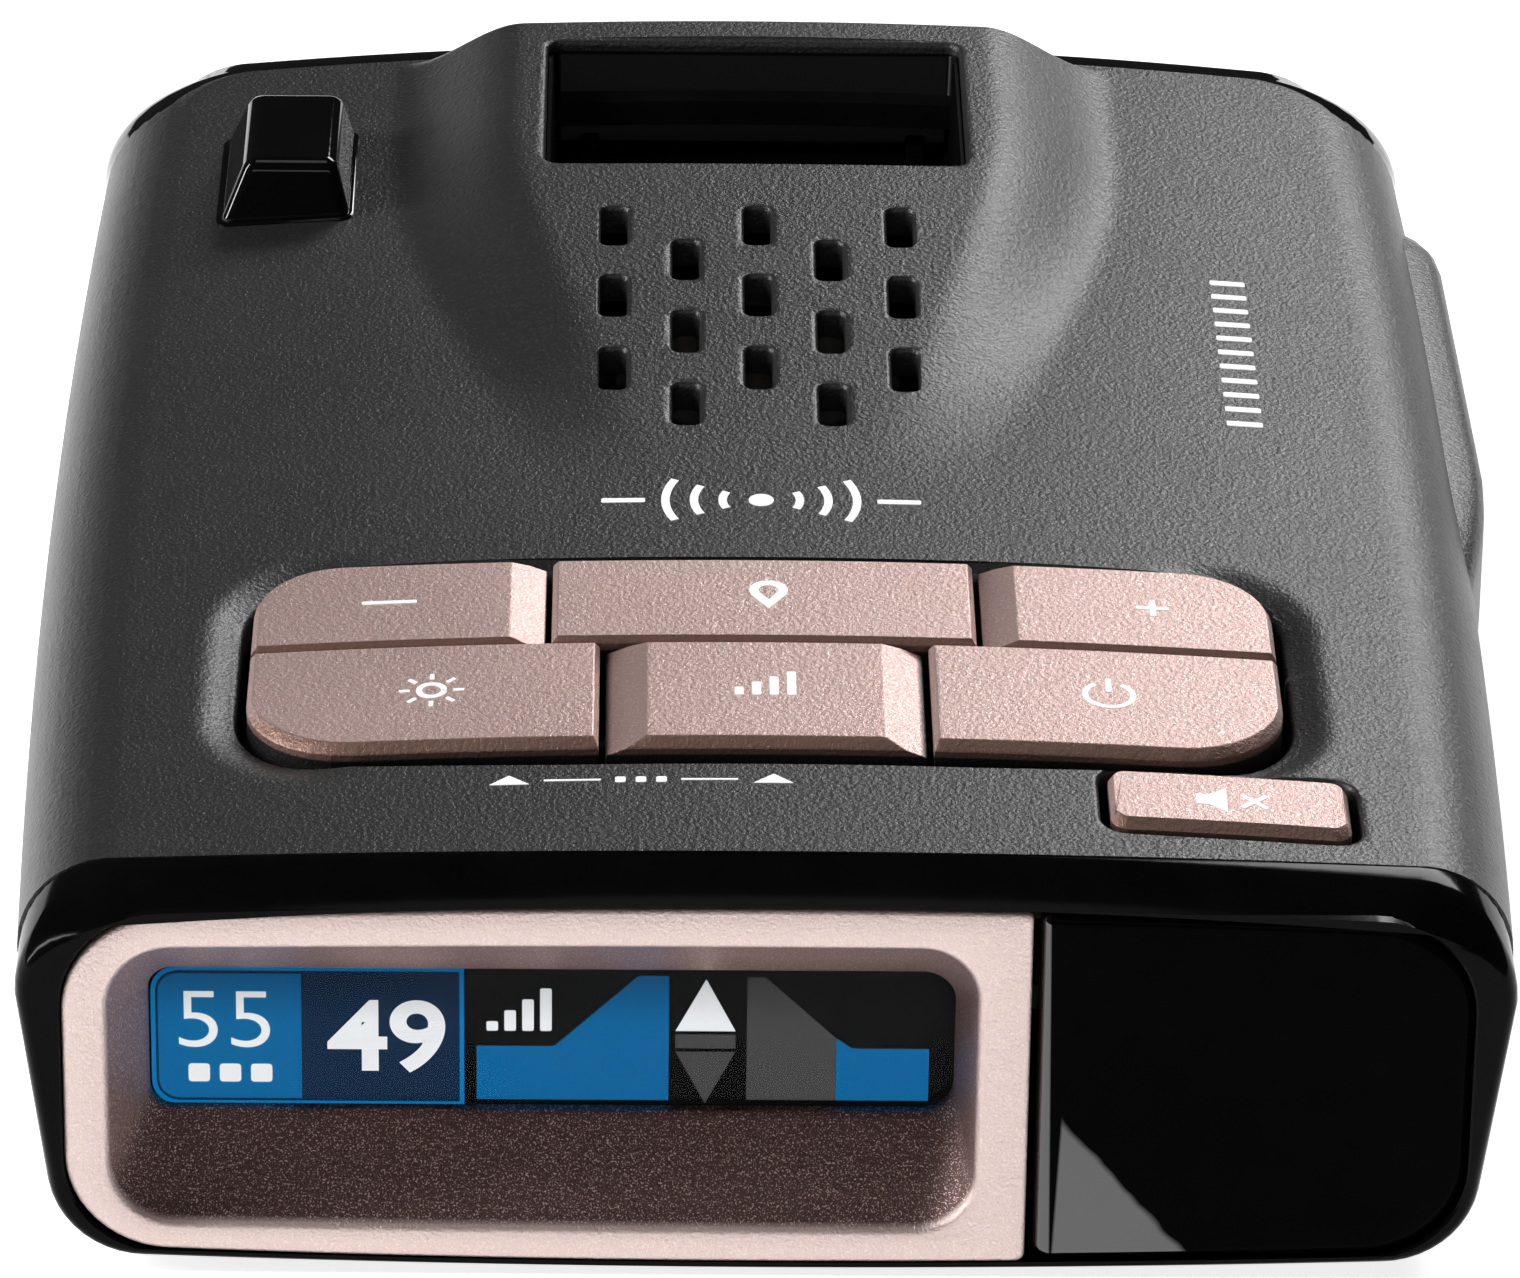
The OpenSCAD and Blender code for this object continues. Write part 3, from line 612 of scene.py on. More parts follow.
NICKEL = plain_paint("nickel", (0.6, 0.58, 0.54), (0.72, 0.7, 0.66), 0.14, 1.0, 0.8, 0.004)
BRASS = plain_paint("brass_post", (0.5, 0.36, 0.13), (0.66, 0.5, 0.2), 0.25, 1.0, 1.4, 0.01,
                    (1.0, 1.0, 5.0))
BLACK_STEEL = plain_paint("black_oxide", (0.02, 0.02, 0.022), (0.045, 0.045, 0.05), 0.35, 0.8, 1.6, 0.01)
BASKET = plain_paint("basket_black", (0.012, 0.012, 0.012), (0.03, 0.03, 0.03), 0.45, 0, 1.0, 0.02)
CONE = plain_paint("cone_paper", (0.05, 0.046, 0.042), (0.09, 0.083, 0.075), 0.7, 0, 2.4, 0.06)
FOAM = plain_paint("foam_ring", (0.01, 0.01, 0.01), (0.028, 0.028, 0.028), 0.85, 0, 3.0, 0.12)
SENSOR = plain_paint("sensor_red", (0.02, 0.002, 0.004), (0.045, 0.004, 0.008), 0.1, 0, 0.7, 0.004)
CERAMIC = plain_paint("patch_ceramic", (0.5, 0.4, 0.27), (0.64, 0.54, 0.4), 0.5, 0, 1.6, 0.02)
LABEL = plain_paint("label_silver", (0.36, 0.36, 0.37), (0.46, 0.46, 0.47), 0.38, 0.35, 1.2, 0.006,
                    (4.0, 0.4, 1.0))


# ---------------------------------------------------------------- shells
def y_of(x, t):
    """Depth of row t (0 at the display end, 1 at the windscreen end) at width x."""
    front = FRONT_Y + x * x / FRONT_BOW
    rear = REAR_Y - x * x / REAR_BOW
    return mix(front, rear, t)


def corner_start():
    return REAR_Y - (half_width(100) - CORNER_R) ** 2 / REAR_BOW - CORNER_R


def row_width(flank):
    """Half width of the body in plan at a depth on the flank."""
    y0 = corner_start()
    if flank <= y0:
        return half_width(flank)
    u = min(1.0, (flank - y0) / CORNER_R)
    return half_width(y0) - CORNER_R * (1 - math.sqrt(max(0.0, 1 - u * u)))


def rows(step=0.6):
    """Row fractions, denser where the roof ends."""
    n = int((REAR_Y - FRONT_Y) / step)
    even = [i / n for i in range(n + 1)]
    dense = [1 - 0.065 * k / 30 for k in range(1, 30)]
    return sorted({round(t, 5) for t in even + dense})


def pad_distance(x, y):
    """Distance outside the six-key pad's well."""
    w, y0, y1, r = 30.0, 15.55, 38.15, 6.0
    dx = abs(x) - (w - r)
    dy = abs(y - (y0 + y1) / 2) - ((y1 - y0) / 2 - r)
    return math.hypot(max(dx, 0), max(dy, 0)) + min(max(dx, dy), 0) - r


def dish(x, y):
    """Depth of the soft hollow at the two ends of the key pad."""
    if abs(x) < 20 or not 8 < y < 46:
        return 0.0
    d = pad_distance(x, y)
    return 0.72 * ease(1 - d / 2.5) * ease((abs(x) - 22.5) / 6.5)


def skin_z(x, y):
    """Top surface of the matte shell away from its rounded sides."""
    return roof(x) + hump(x, y) - dish(x, y)


def shell_columns():
    across = 162
    return ([("side", -1, PART_Z)] + [("arc", -1, 180 - 9 * i) for i in range(11)] +
            [("roof", -1 + 2 * i / across, 0) for i in range(1, across)] +
            [("arc", 1, 90 - 9 * i) for i in range(11)] + [("side", 1, PART_Z)])


def shell_grid(inset, ts):
    grid = []
    for t in ts:
        line = []
        flank = y_of(42, t)
        hw = row_width(flank)
        sx = hw - SHOULDER_R
        sr = SHOULDER_R - inset
        for kind, a, b in shell_columns():
            if kind == "roof":
                x = a * sx
                y = y_of(x, t)
                line.append((x, y, skin_z(x, y) - inset))
            elif kind == "arc":
                x = a * sx + sr * math.cos(math.radians(b))
                line.append((x, y_of(x, t), roof(sx) - SHOULDER_R + sr * math.sin(math.radians(b))))
            else:
                x = a * (sx + sr)
                line.append((x, y_of(x, t), b))
        grid.append(line)
    return grid


def shell_solid(name, outer, inner):
    """Closed solid between two grids of the same size."""
    m, n = len(outer[0]), len(outer)
    verts = [p for line in outer for p in line] + [p for line in inner for p in line]
    k = m * n
    faces = []
    for j in range(n - 1):
        for i in range(m - 1):
            a = j * m + i
            faces.append((a, a + 1, a + m + 1, a + m))
            faces.append((k + a, k + a + m, k + a + m + 1, k + a + 1))
    for i in range(m - 1):
        faces.append((i, k + i, k + i + 1, i + 1))
        a = (n - 1) * m + i
        faces.append((a, a + 1, k + a + 1, k + a))
    for j in range(n - 1):
        a = j * m
        faces.append((a, a + m, k + a + m, k + a))
        a = j * m + m - 1
        faces.append((a, k + a, k + a + m, a + m))
    return mesh_object(name, verts, faces, 40)


def pad_outline(grow, n=10):
    return rounded(-29.55 - grow, 29.55 + grow, 16.0 - grow, 37.7 + grow,
                   (6.2 + grow, 6.2 + grow, 5.0 + grow, 5.0 + grow), n)


def mute_outline(grow, n=6):
    return rounded(19.15 - grow, 32.65 + grow, 8.7 - grow, 14.7 + grow, 1.0 + grow, n)


def pocket_outline(grow, n=5):
    return rounded(-13.35 - grow, 13.35 + grow, 85.6 - grow, 103.6 + grow, 0.9 + grow, n)


SLOTS = [(col * 4.46, 61.4 + row * 8.0 - (4.0 if abs(col) == 1 else 0.0))
         for col in range(-2, 3) for row in range(3)]


def slot_cutter(x, y):
    """A slot with a soft chamfered rim, square to the slope it is in."""
    z = skin_z(x, y)
    slope = (skin_z(x, y + 1) - skin_z(x, y - 1)) / 2
    tilt = math.atan(slope)
    loops = []
    for up, grow in ((-4, 0), (-0.32, 0.0), (-0.12, 0.07), (-0.03, 0.17), (0.05, 0.3), (0.4, 0.62)):
        ring = []
        for px, py in rounded(-0.83 - grow, 0.83 + grow, -2.2 - grow, 2.2 + grow, 0.5 + grow, 5):
            ring.append((x + px, y + py * math.cos(tilt) - up * math.sin(tilt),
                         z + py * math.sin(tilt) + up * math.cos(tilt)))
        loops.append(ring)
    return loft("slot", loops, close=False)


def follow_cutter(name, outline, levels, surface):
    """A cutter whose flare follows the curved surface: levels are (height, growth)."""
    loops = []
    for up, grow in levels:
        loops.append([(x, y, surface(x, y) + up if up > -2.5 else 15.0) for x, y in outline(grow)])
    loops.append([(x, y, 34.0) for x, y, z in loops[-1]])
    return loft(name, loops, close=False)


RIM = ((-3, 0.0), (-0.4, 0.0), (-0.2, 0.04), (-0.06, 0.15), (0.03, 0.34), (0.5, 0.8))
TIGHT_RIM = ((-3, 0.0), (-0.3, 0.0), (-0.12, 0.05), (-0.03, 0.14), (0.03, 0.26), (0.5, 0.5))

ts = rows()
outer = shell_grid(0.0, ts)
inner = shell_grid(WALL, ts)
top_shell = shell_solid("top_shell_skin", outer, inner)
cut(top_shell, [slot_cutter(x, y) for x, y in SLOTS])
cut(top_shell, [follow_cutter("pad_well", lambda g: pad_outline(0.55 + g), RIM, skin_z)])
cut(top_shell, [follow_cutter("mute_well", lambda g: mute_outline(0.55 + g), TIGHT_RIM, skin_z)])
cut(top_shell, [follow_cutter("pocket_well", pocket_outline, RIM, lambda x, y: roof(x) + 3.3)], 38)
finish_piece(top_shell, SHELL, nodes=("top_shell",))


def bottom_ring(hw, inset):
    kr = KEEL_R - inset
    kx = hw - 1.55 - KEEL_R
    kz = 0.5 + 0.6 + KEEL_R
    pts = [(-hw + inset, PART_Z - 0.12)]
    pts += [(-mix(hw - 0.1, hw - 1.5, i / 4) + inset, mix(PART_Z - 1, kz + 0.8, i / 4)) for i in range(5)]
    pts += [(-kx + kr * math.cos(math.radians(a)), kz + kr * math.sin(math.radians(a)))
            for a in [188 + 82 * i / 9 for i in range(10)]]
    flat = [(-kx + 2 * kx * i / 24, 0.5 + 0.6 * ((-kx + 2 * kx * i / 24) / kx) ** 2 + inset)
            for i in range(1, 24)]
    return pts + flat + [(-x, z) for x, z in reversed(pts)]


def bottom_grid(inset, ts):
    grid = []
    for t in ts:
        hw = row_width(y_of(42, t))
        grid.append([(x, y_of(x, t), z) for x, z in bottom_ring(hw, inset)])
    return grid


bts = [t for i, t in enumerate(ts) if i % 3 == 0 or t > 0.9]
bottom_shell = shell_solid("bottom_shell_skin", bottom_grid(0.0, bts), bottom_grid(WALL, bts))
screw_wells = [turned("well", x, y, ((3.1, -1), (3.1, 0.95), (2.7, 1.5), (2.7, 6)), 32)
               for x, y in ((-34, 17), (34, 17), (-34, 100.5), (34, 100.5))]
vents = [prism("vent", rounded(x - 0.6, x + 0.6, 74, 86, 0.55, 4), -1, 5) for x in range(-12, 13, 3)]
cut(bottom_shell, screw_wells + vents, 38)
finish_piece(bottom_shell, SHELL, nodes=("bottom_shell",))


# ---------------------------------------------------------------- display end
def front_frame():
    """Ring from its seam with the shells, over the brow, to the opening's wall."""
    skin = body_ring(half_width(6) - 0.12, 0.08, 0.0, 10, 28)
    seam_y = lambda x, back: FRONT_Y + back + x * x / FRONT_BOW
    loops = [[(x * 0.955, seam_y(x, back), 12.2 + (z - 12.2) * 0.9) for x, z, nx, nz in skin]
             for back in (1.9, -0.08)]
    loops.append([(x - nx * 0.12, seam_y(x, -0.08), z - nz * 0.12) for x, z, nx, nz in skin])
    loops.append([(x, seam_y(x, -0.2), z) for x, z, nx, nz in skin])

    def station(turn):
        """Part of the way round the edge: a long brow on top, a short lip below."""
        line = []
        for x, z, nx, nz in skin:
            top = ease((nz - 0.35) / 0.6)
            reach, inset_by, power = mix(1.35, 3.7, top), mix(0.8, 1.3, top), mix(2.0, 1.12, top)
            along = max(0.0, math.cos(turn)) ** (2 / power)
            inward = max(0.0, math.sin(turn)) ** (2 / power)
            fx, fz = x - nx * inset_by * (1 - along), z - nz * inset_by * (1 - along)
            line.append((fx, min(on_face(0, 0, fz)[1] + reach * (1 - inward), seam_y(x, -0.08)), fz))
        return line

    loops += [station(math.radians(10 * k)) for k in range(10)]
    # the opening: four round corners, with bowed spans above and below
    r, bow, span = 5.8, 1700, 28
    sx = 39.15 - r
    roof_at, foot_at = (lambda x: 23.25 - x * x / bow), (lambda x: 0.7 + x * x / bow)
    high, low = roof_at(sx) - r, foot_at(sx) + r
    opening = []
    for k, (cx, cz) in enumerate(((-sx, high), (sx, high), (sx, low), (-sx, low))):
        opening += arc(cx, cz, r, 180 - 90 * k, 90 - 90 * k, 10)
        if k in (0, 2):
            edge, way = (roof_at, 1) if k == 0 else (foot_at, -1)
            opening += [(x, edge(x)) for x in (way * (2 * sx * i / span - sx) for i in range(1, span))]
    for depth, g in ((0.0, 0.12), (0.12, 0.0), (4.6, 0.0)):
        loops.append([on_face(0.1 + x * (1 + g / 39), depth, 12 + (z - 12) * (1 + g / 11)) for x, z in opening])
    return loft("front_frame_ring", loops, close=True, angle=36)


finish_piece(front_frame(), FRAME_GLOSS, nodes=("front_frame",))


def face_loft(name, sections, angle=32, close=True):
    """Loops on the leaning face: sections are (depth, outline)."""
    return loft(name, [[on_face(x, d, z) for x, z in ring] for d, ring in sections], close, angle)


def bezel():
    N, S = 12, 24
    out = lambda g: rounded(-39.0 - g, 14.62 + g, 0.8 - g, 23.15 + g, (5.7 + g, 0.5, 0.5, 5.7 + g), N, S,
                            1 / 1700)
    rec = lambda g: rounded(-36.55 - g, 11.75 + g, 2.95 - g, 20.72 + g, (3.7 + g, 3.5 + g, 3.3 + g, 3.7 + g),
                            N, S, 1 / 4200)
    gap = lambda g: rounded(-34.45 - g, 10.62 + g, 8.12 - g, 17.06 + g, (1.4 + g, 1.9 + g, 1.9 + g, 1.4 + g),
                            N, S)
    secs = [(5.0, out(-0.25)), (0.42, out(0.0)), (0.24, out(-0.03)), (0.1, out(-0.12)), (0.02, out(-0.3)),
            (0.02, rec(0.36)), (0.06, rec(0.2)), (0.18, rec(0.06)), (0.4, rec(-0.06))]
    a, b = rec(-0.06), gap(0.06)
    for k in (0.25, 0.5, 0.75, 0.95):
        ring = [(mix(p[0], q[0], k), mix(p[1], q[1], k)) for p, q in zip(a, b)]
        secs.append((mix(0.4, 4.28, k), ring))
    secs += [(4.36, gap(0.03)), (4.5, gap(0.0)), (5.0, gap(0.0))]
    return face_loft("display_bezel_shape", secs, 34)


finish_piece(keep_facing(bezel()), BEZEL_ROSE, nodes=("display_bezel",))

window = face_loft("display_window_sheet", [
    (5.15, rounded(-35.6, 11.7, 7.3, 18.0, 1.0, 6)), (5.1, rounded(-35.62, 11.72, 7.28, 18.02, 1.0, 6)),
    (4.62, rounded(-35.62, 11.72, 7.28, 18.02, 1.0, 6)), (4.58, rounded(-35.55, 11.65, 7.35, 17.95, 1.0, 6))],
    close=False)
finish_piece(window, CLEAR, nodes=("display_window",))

SCREEN_D = 5.32
SHEET = 0.012  # thickness of a lit area
module = bevelled(face_loft("display_module_glass", [
    (7.4, rounded(-36.6, 12.7, 5.2, 19.4, 0.5, 4)), (SCREEN_D, rounded(-36.6, 12.7, 5.2, 19.4, 0.5, 4))],
    close=False), 0.15, 2)
finish_piece(module, SCREEN, nodes=("display_module",))


def screen_shape(name, outline, material, lift):
    """A lit area: a thin sheet in front of the dark display glass."""
    d = SCREEN_D - SHEET - lift
    finish_piece(face_loft(name, [(d, outline), (d - SHEET, outline)], close=False), material)


def band(x0, x1, z0, z1, r):
    return rounded(x0, x1, z0, z1, r, 6)


# two speed panels in a bright outline, then ramps, arrows and a bar
for name, outline, material, lift in (
        ("limit_panel_rim", band(-34.35, -16.85, 7.85, 16.62, (1.5, 0.1, 0.1, 1.5)), BRIGHT_BLUE, 0.0),
        ("limit_panel_gap", band(-34.1, -17.1, 8.12, 16.38, (1.3, 0.1, 0.1, 1.3)), NAVY, 0.02),
        ("limit_panel", band(-33.95, -25.95, 8.3, 16.2, (1.15, 0.05, 0.05, 1.15)), BLUE, 0.04),
        ("speed_panel", band(-25.5, -17.25, 8.3, 16.2, (0.05, 0.05, 0.05, 0.05)), NAVY, 0.04),
        ("ramp_blue", [(-16.15, 8.3), (-5.4, 8.3), (-5.4, 16.2), (-7.1, 16.2), (-11.8, 11.7),
                       (-16.15, 11.7)], BLUE, 0.02),
        ("arrow_up", [(-5.02, 12.72), (-1.66, 12.72), (-3.32, 16.0)], WHITE_LIT, 0.02),
        ("arrow_bar", [(-5.02, 11.62), (-1.66, 11.62), (-1.66, 12.5), (-5.02, 12.5)], GREY_LIT, 0.02),
        ("arrow_down", [(-3.34, 8.1), (-1.66, 11.4), (-5.02, 11.4)], GREY_LIT, 0.02),
        ("ramp_grey", [(-1.02, 8.35), (3.98, 8.35), (3.98, 12.3), (0.0, 16.15), (-1.02, 16.15)],
         GREY_LIT, 0.02),
        ("bar_blue", [(4.0, 8.35), (9.2, 8.35), (9.2, 11.65), (4.9, 11.65), (4.0, 12.3)], BLUE, 0.02)):
    screen_shape(name, outline, material, lift)


def number(name, text, x0, x1, z0, z1, material, weight):
    """Digits as a flat mesh on the display, stretched to fill a box."""
    cu = bpy.data.curves.new(name, "FONT")
    cu.body = text
    cu.offset = weight
    tmp = placed(name + "_curve", cu)
    graph = bpy.context.evaluated_depsgraph_get()
    me = bpy.data.meshes.new_from_object(tmp.evaluated_get(graph))
    bpy.data.objects.remove(tmp)
    xs = [v.co.x for v in me.vertices]
    zs = [v.co.y for v in me.vertices]
    ax, bx, az, bz = min(xs), max(xs), min(zs), max(zs)
    for v in me.vertices:
        x = mix(x0, x1, (v.co.x - ax) / (bx - ax))
        z = mix(z0, z1, (v.co.y - az) / (bz - az))
        v.co = Vector(at(*on_face(x, SCREEN_D - 0.1, z)))
    push = Vector(at(*on_face(0, -SHEET, 0))) - Vector(at(*on_face(0, 0, 0)))
    with edited(me) as bm:
        bmesh.ops.remove_doubles(bm, verts=bm.verts, dist=1e-7)
        got = bmesh.ops.extrude_face_region(bm, geom=bm.faces[:])
        raised = [g for g in got["geom"] if isinstance(g, bmesh.types.BMVert)]
        bmesh.ops.translate(bm, vec=push, verts=raised)
        bmesh.ops.recalc_face_normals(bm, faces=bm.faces)
    finish_piece(placed(name, me), material)


number("limit_digits", "55", -32.8, -27.7, 11.55, 15.1, WHITE_LIT, -0.008)
number("speed_digits", "49", -24.5, -17.9, 10.0, 14.6, WHITE_LIT, 0.022)
# unit mark: three squares; band mark: rising bars
for i in range(3):
    screen_shape("unit_mark_%d" % i, band(-32.3 + i * 1.75, -31.1 + i * 1.75, 9.35, 10.5, 0.2),
                 WHITE_LIT, 0.08)
for i in range(4):
    screen_shape("band_mark_%d" % i, band(-15.6 + i * 1.0, -14.95 + i * 1.0, 12.7, 13.3 + i * 0.7, 0.12),
                 WHITE_LIT, 0.08)


def sensor_window():
    out = lambda g: rounded(15.02 - g, 39.2 + g, 0.8 - g, 23.15 + g, (0.7, 5.7 + g, 5.7 + g, 0.7), 12, 16,
                            1 / 1700)
    secs = [(2.2, out(-0.3)), (0.95, out(0.0))]
    for k in range(1, 8):
        a = math.radians(90 * k / 7)
        secs.append((0.95 - 0.85 * math.sin(a), out(-0.85 * (1 - math.cos(a)))))
    ring = out(-0.85)
    cx, cz = 27.1, 12.0
    for k in (0.85, 0.7, 0.5, 0.3, 0.12):
        secs.append((0.1 - 0.3 * (1 - k * k), [(cx + (x - cx) * k, cz + (z - cz) * k) for x, z in ring]))
    return face_loft("sensor_window_glass", secs, 40, close=False)


finish_piece(sensor_window(), SENSOR_GLOSS, nodes=("sensor_window",))


# ---------------------------------------------------------------- windscreen end
CORNER_LIP = 0.75


def rear_cover():
    """Gloss cover whose lip shows as a thin line past the shells' rear edge."""
    def ring(width, under, top, y_at, grow=0.0):
        return [(x, y_at(x), z) for x, z, a, b in body_ring(width, under, grow, 10, 30, top)]

    def behind(t, gap):
        return lambda x: y_of(x, t) + gap

    lip = (0.925, 0.94, 0.95, 0.96, 0.968, 0.976, 0.983, 0.989, 0.994, 0.998, 1.0)
    wide = lambda t: row_width(y_of(42, t)) - 0.07 + CORNER_LIP * ease((t - 0.93) / 0.05)
    end = wide(1.0)
    loops = [ring(end - 2.6, 3.0, 2.6, behind(1.0, -0.4)), ring(end, 0.56, 0.12, behind(0.99, 0.0), -1.5)]
    loops += [ring(wide(t), 0.56, 0.12, behind(t, 0.3), -1.5) for t in (0.97, 0.95, 0.925)]
    loops += [ring(wide(t), 0.56, 0.12, behind(t, 0.62)) for t in lip]
    for k in range(1, 8):
        a = math.radians(90 * k / 7)
        drop = 1.1 * (1 - math.cos(a))
        loops.append(ring(end - drop * 1.5, 0.56 + drop, 0.12 + drop, behind(1.0, 1.3 + 1.1 * math.sin(a))))
    last = ring(end - 1.65, 1.66, 1.22, behind(1.0, 2.4))
    for k in (0.8, 0.5, 0.2):
        loops.append([(x * k, y_of(x * k, 1.0) + 2.4, 12.3 + (z - 12.3) * k) for x, y, z in last])
    return loft("rear_cover_shape", loops, close=False, angle=34)


finish_piece(rear_cover(), GLOSS, nodes=("rear_window",))


def turret():
    base = [(-34.1, 84.9), (-25.6, 84.9), (-25.6, 97.6), (-34.1, 97.6)]
    top = [(-32.25, 86.1), (-26.55, 86.1), (-26.55, 96.3), (-32.25, 96.3)]
    zb = lambda x: roof(x) - 0.25
    verts = [(x, y, zb(x)) for x, y in base] + [(x, y, 27.45) for x, y in top]
    faces = [(0, 1, 2, 3), (4, 5, 6, 7)] + [(i, (i + 1) % 4, 4 + (i + 1) % 4, 4 + i) for i in range(4)]
    ob = mesh_object("laser_turret_lens", verts, faces)
    bevelled(ob, 0.75, 6)
    foot = [[(x, y, roof(x) + up) for x, y in rounded(-34.2 - g, -25.5 + g, 84.8 - g, 97.7 + g, 0.9, 5)]
            for up, g in ((-0.6, -0.1), (0.0, 0.0), (0.1, 0.0), (0.16, -0.1), (0.16, -1.0))]
    return joined("laser_turret_lens", [ob, loft("turret_skirt", foot, close=False)])


finish_piece(turret(), TURRET_GLOSS, nodes=("laser_turret",))


# ---------------------------------------------------------------- jack housing
def jack_housing():
    loops = []
    stations = [(45.0, -0.15), (46.5, 0.08), (48.5, 0.42), (51.0, 0.85), (54.0, 1.28), (57.0, 1.58),
                (60.0, 1.75), (88, 1.75), (90.5, 1.55), (92.4, 0.9), (93.2, 0.0)]
    for y, out in stations:
        hw = half_width(y) - 0.2
        top = 19.7 - 0.4 * (1 - out / 1.75)
        line = [(hw - 4.2, 7.4), (hw - 0.6, 7.6), (hw + out - 0.55, 7.9), (hw + out - 0.15, 8.25),
                (hw + out, 8.9), (hw + out + 0.02, 13), (hw + out - 0.02, top - 1.5),
                (hw + out - 0.12, top - 0.7), (hw + out - 0.5, top - 0.2), (hw + out - 1.1, top + 0.12),
                (hw - 1.6, top + 0.75), (hw - 4.2, top + 0.4)]
        loops.append([(x, y, z) for x, z in line])
    ob = loft("jack_housing_shape", loops, close=False, angle=40)
    tools = []
    for y0, y1, z0, z1, r in ((72.4, 82.6, 12.1, 18.5, 0.6), (57.4, 65.6, 11.5, 14.7, 1.2)):
        ring = lambda g, x: [(x, y, z) for y, z in rounded(y0 - g, y1 + g, z0 - g, z1 + g, r + g, 5)]
        tools.append(loft("plug_way", [ring(0, 36), ring(0, 44.1), ring(0.25, 44.45), ring(0.6, 45.4)],
                          close=False))
    cut(ob, tools, 38)
    return ob


finish_piece(jack_housing(), SHELL, nodes=("jack_housing",))


# ---------------------------------------------------------------- keys
def clip(poly, a, b, c):
    """Keep the part of a convex outline where a x + b y <= c."""
    out = []
    for i, p in enumerate(poly):
        q = poly[(i + 1) % len(poly)]
        dp, dq = a * p[0] + b * p[1] - c, a * q[0] + b * q[1] - c
        if dp <= 0:
            out.append(p)
        if dp * dq < 0:
            t = dp / (dp - dq)
            out.append((mix(p[0], q[0], t), mix(p[1], q[1], t)))
    return out


KEY_TOP = 25.4
CHAMFER_DEPTH = 0.45
FLANK = math.radians(22)


def inset(ring, widths):
    """Ring moved inwards, each side by its own width."""
    n = len(ring)
    normals = []
    for i in range(n):
        (ax, ay), (bx, by) = ring[i], ring[(i + 1) % n]
        size = math.hypot(bx - ax, by - ay) or 1.0
        normals.append(((by - ay) / size, (ax - bx) / size))
    out = []
    for i in range(n):
        (ax, ay), (bx, by) = normals[i - 1], normals[i]
        da, db = -widths(ax, ay), -widths(bx, by)
        det = ax * by - ay * bx
        if abs(det) < 0.02:
            dx, dy = (ax + bx) / 2 * (da + db) / 2, (ay + by) / 2 * (da + db) / 2
        else:
            dx, dy = (da * by - db * ay) / det, (ax * db - bx * da) / det
        out.append((ring[i][0] + dx, ring[i][1] + dy))
    return out


def split(bm, point, normal, clear_outer=False):
    bmesh.ops.bisect_plane(bm, geom=bm.verts[:] + bm.edges[:] + bm.faces[:], dist=1e-5,
                           plane_co=point, plane_no=normal, clear_outer=clear_outer)


def key(name, x0, x1, y0, y1, spot, slopes=(), outline=None, top=KEY_TOP, bottom=22.1, front=0.7):
    """A key clipped from an outline, with chamfered edges, sloping flanks that start
    at (x, way), a crown like the roof's and a stem at its spot."""
    ring = outline or pad_outline(0.0, 8)
    for a, b, c in ((-1, 0, -x0), (1, 0, x1), (0, -1, -y0), (0, 1, y1)):
        ring = clip(ring, a, b, c)
    ring = [q for k, q in enumerate(ring) if math.dist(q, ring[k - 1]) > 1e-4]
    if sum(a[0] * b[1] - a[1] * b[0] for a, b in zip(ring, ring[1:] + ring[:1])) < 0:
        ring.reverse()
    chamfer = inset(ring, lambda nx, ny: mix(0.3, front, ease(min(1.0, max(0.0, -ny * 1.25)))))
    n = len(ring)
    me = bpy.data.meshes.new(name)
    with edited(me, False) as bm:
        loops = [[bm.verts.new(p) for p in loop]
                 for loop in stack([(ring, bottom), (ring, top - CHAMFER_DEPTH), (chamfer, top)])]
        bm.faces.new(list(reversed(loops[0])))
        bm.faces.new(loops[-1])
        for low, high in zip(loops, loops[1:]):
            for i in range(n):
                j = (i + 1) % n
                bm.faces.new((low[i], low[j], high[j], high[i]))
        for sx, way in slopes:
            split(bm, (sx, 0, top), (way * math.sin(FLANK), 0, math.cos(FLANK)), clear_outer=True)
            bmesh.ops.holes_fill(bm, edges=[e for e in bm.edges if e.is_boundary])
        bmesh.ops.recalc_face_normals(bm, faces=bm.faces)
    ob = placed(name, me)
    mod = ob.modifiers.new("edge", "BEVEL")
    mod.width = 0.09
    mod.segments = 2
    mod.limit_method = "ANGLE"
    mod.angle_limit = math.radians(17)
    mod.profile = 0.55
    applied(ob)
    with edited(ob.data) as bm:
        x = math.ceil(min(v.co.x for v in bm.verts))
        while x < max(v.co.x for v in bm.verts):
            split(bm, (x, 0, 0), (1, 0, 0))
            x += 1.5
        for v in bm.verts:
            if v.co.z > bottom + 0.1:
                v.co.z -= v.co.x ** 2 / (2 * CROWN_R)
            v.co = Vector(at(*v.co))
        bmesh.ops.recalc_face_normals(bm, faces=bm.faces)
    smooth(ob.data, 28)
    weighted(ob)
    stem = turned("stem", spot[0], spot[1], ((1.6, 22.4), (1.6, 19.5), (1.3, 19.2)), 24)
    ob = joined(name, [ob, stem])
    smooth(ob.data, 28)
    return keep_facing(ob)


def key_z(x, top=KEY_TOP):
    return top - x * x / (2 * CROWN_R)


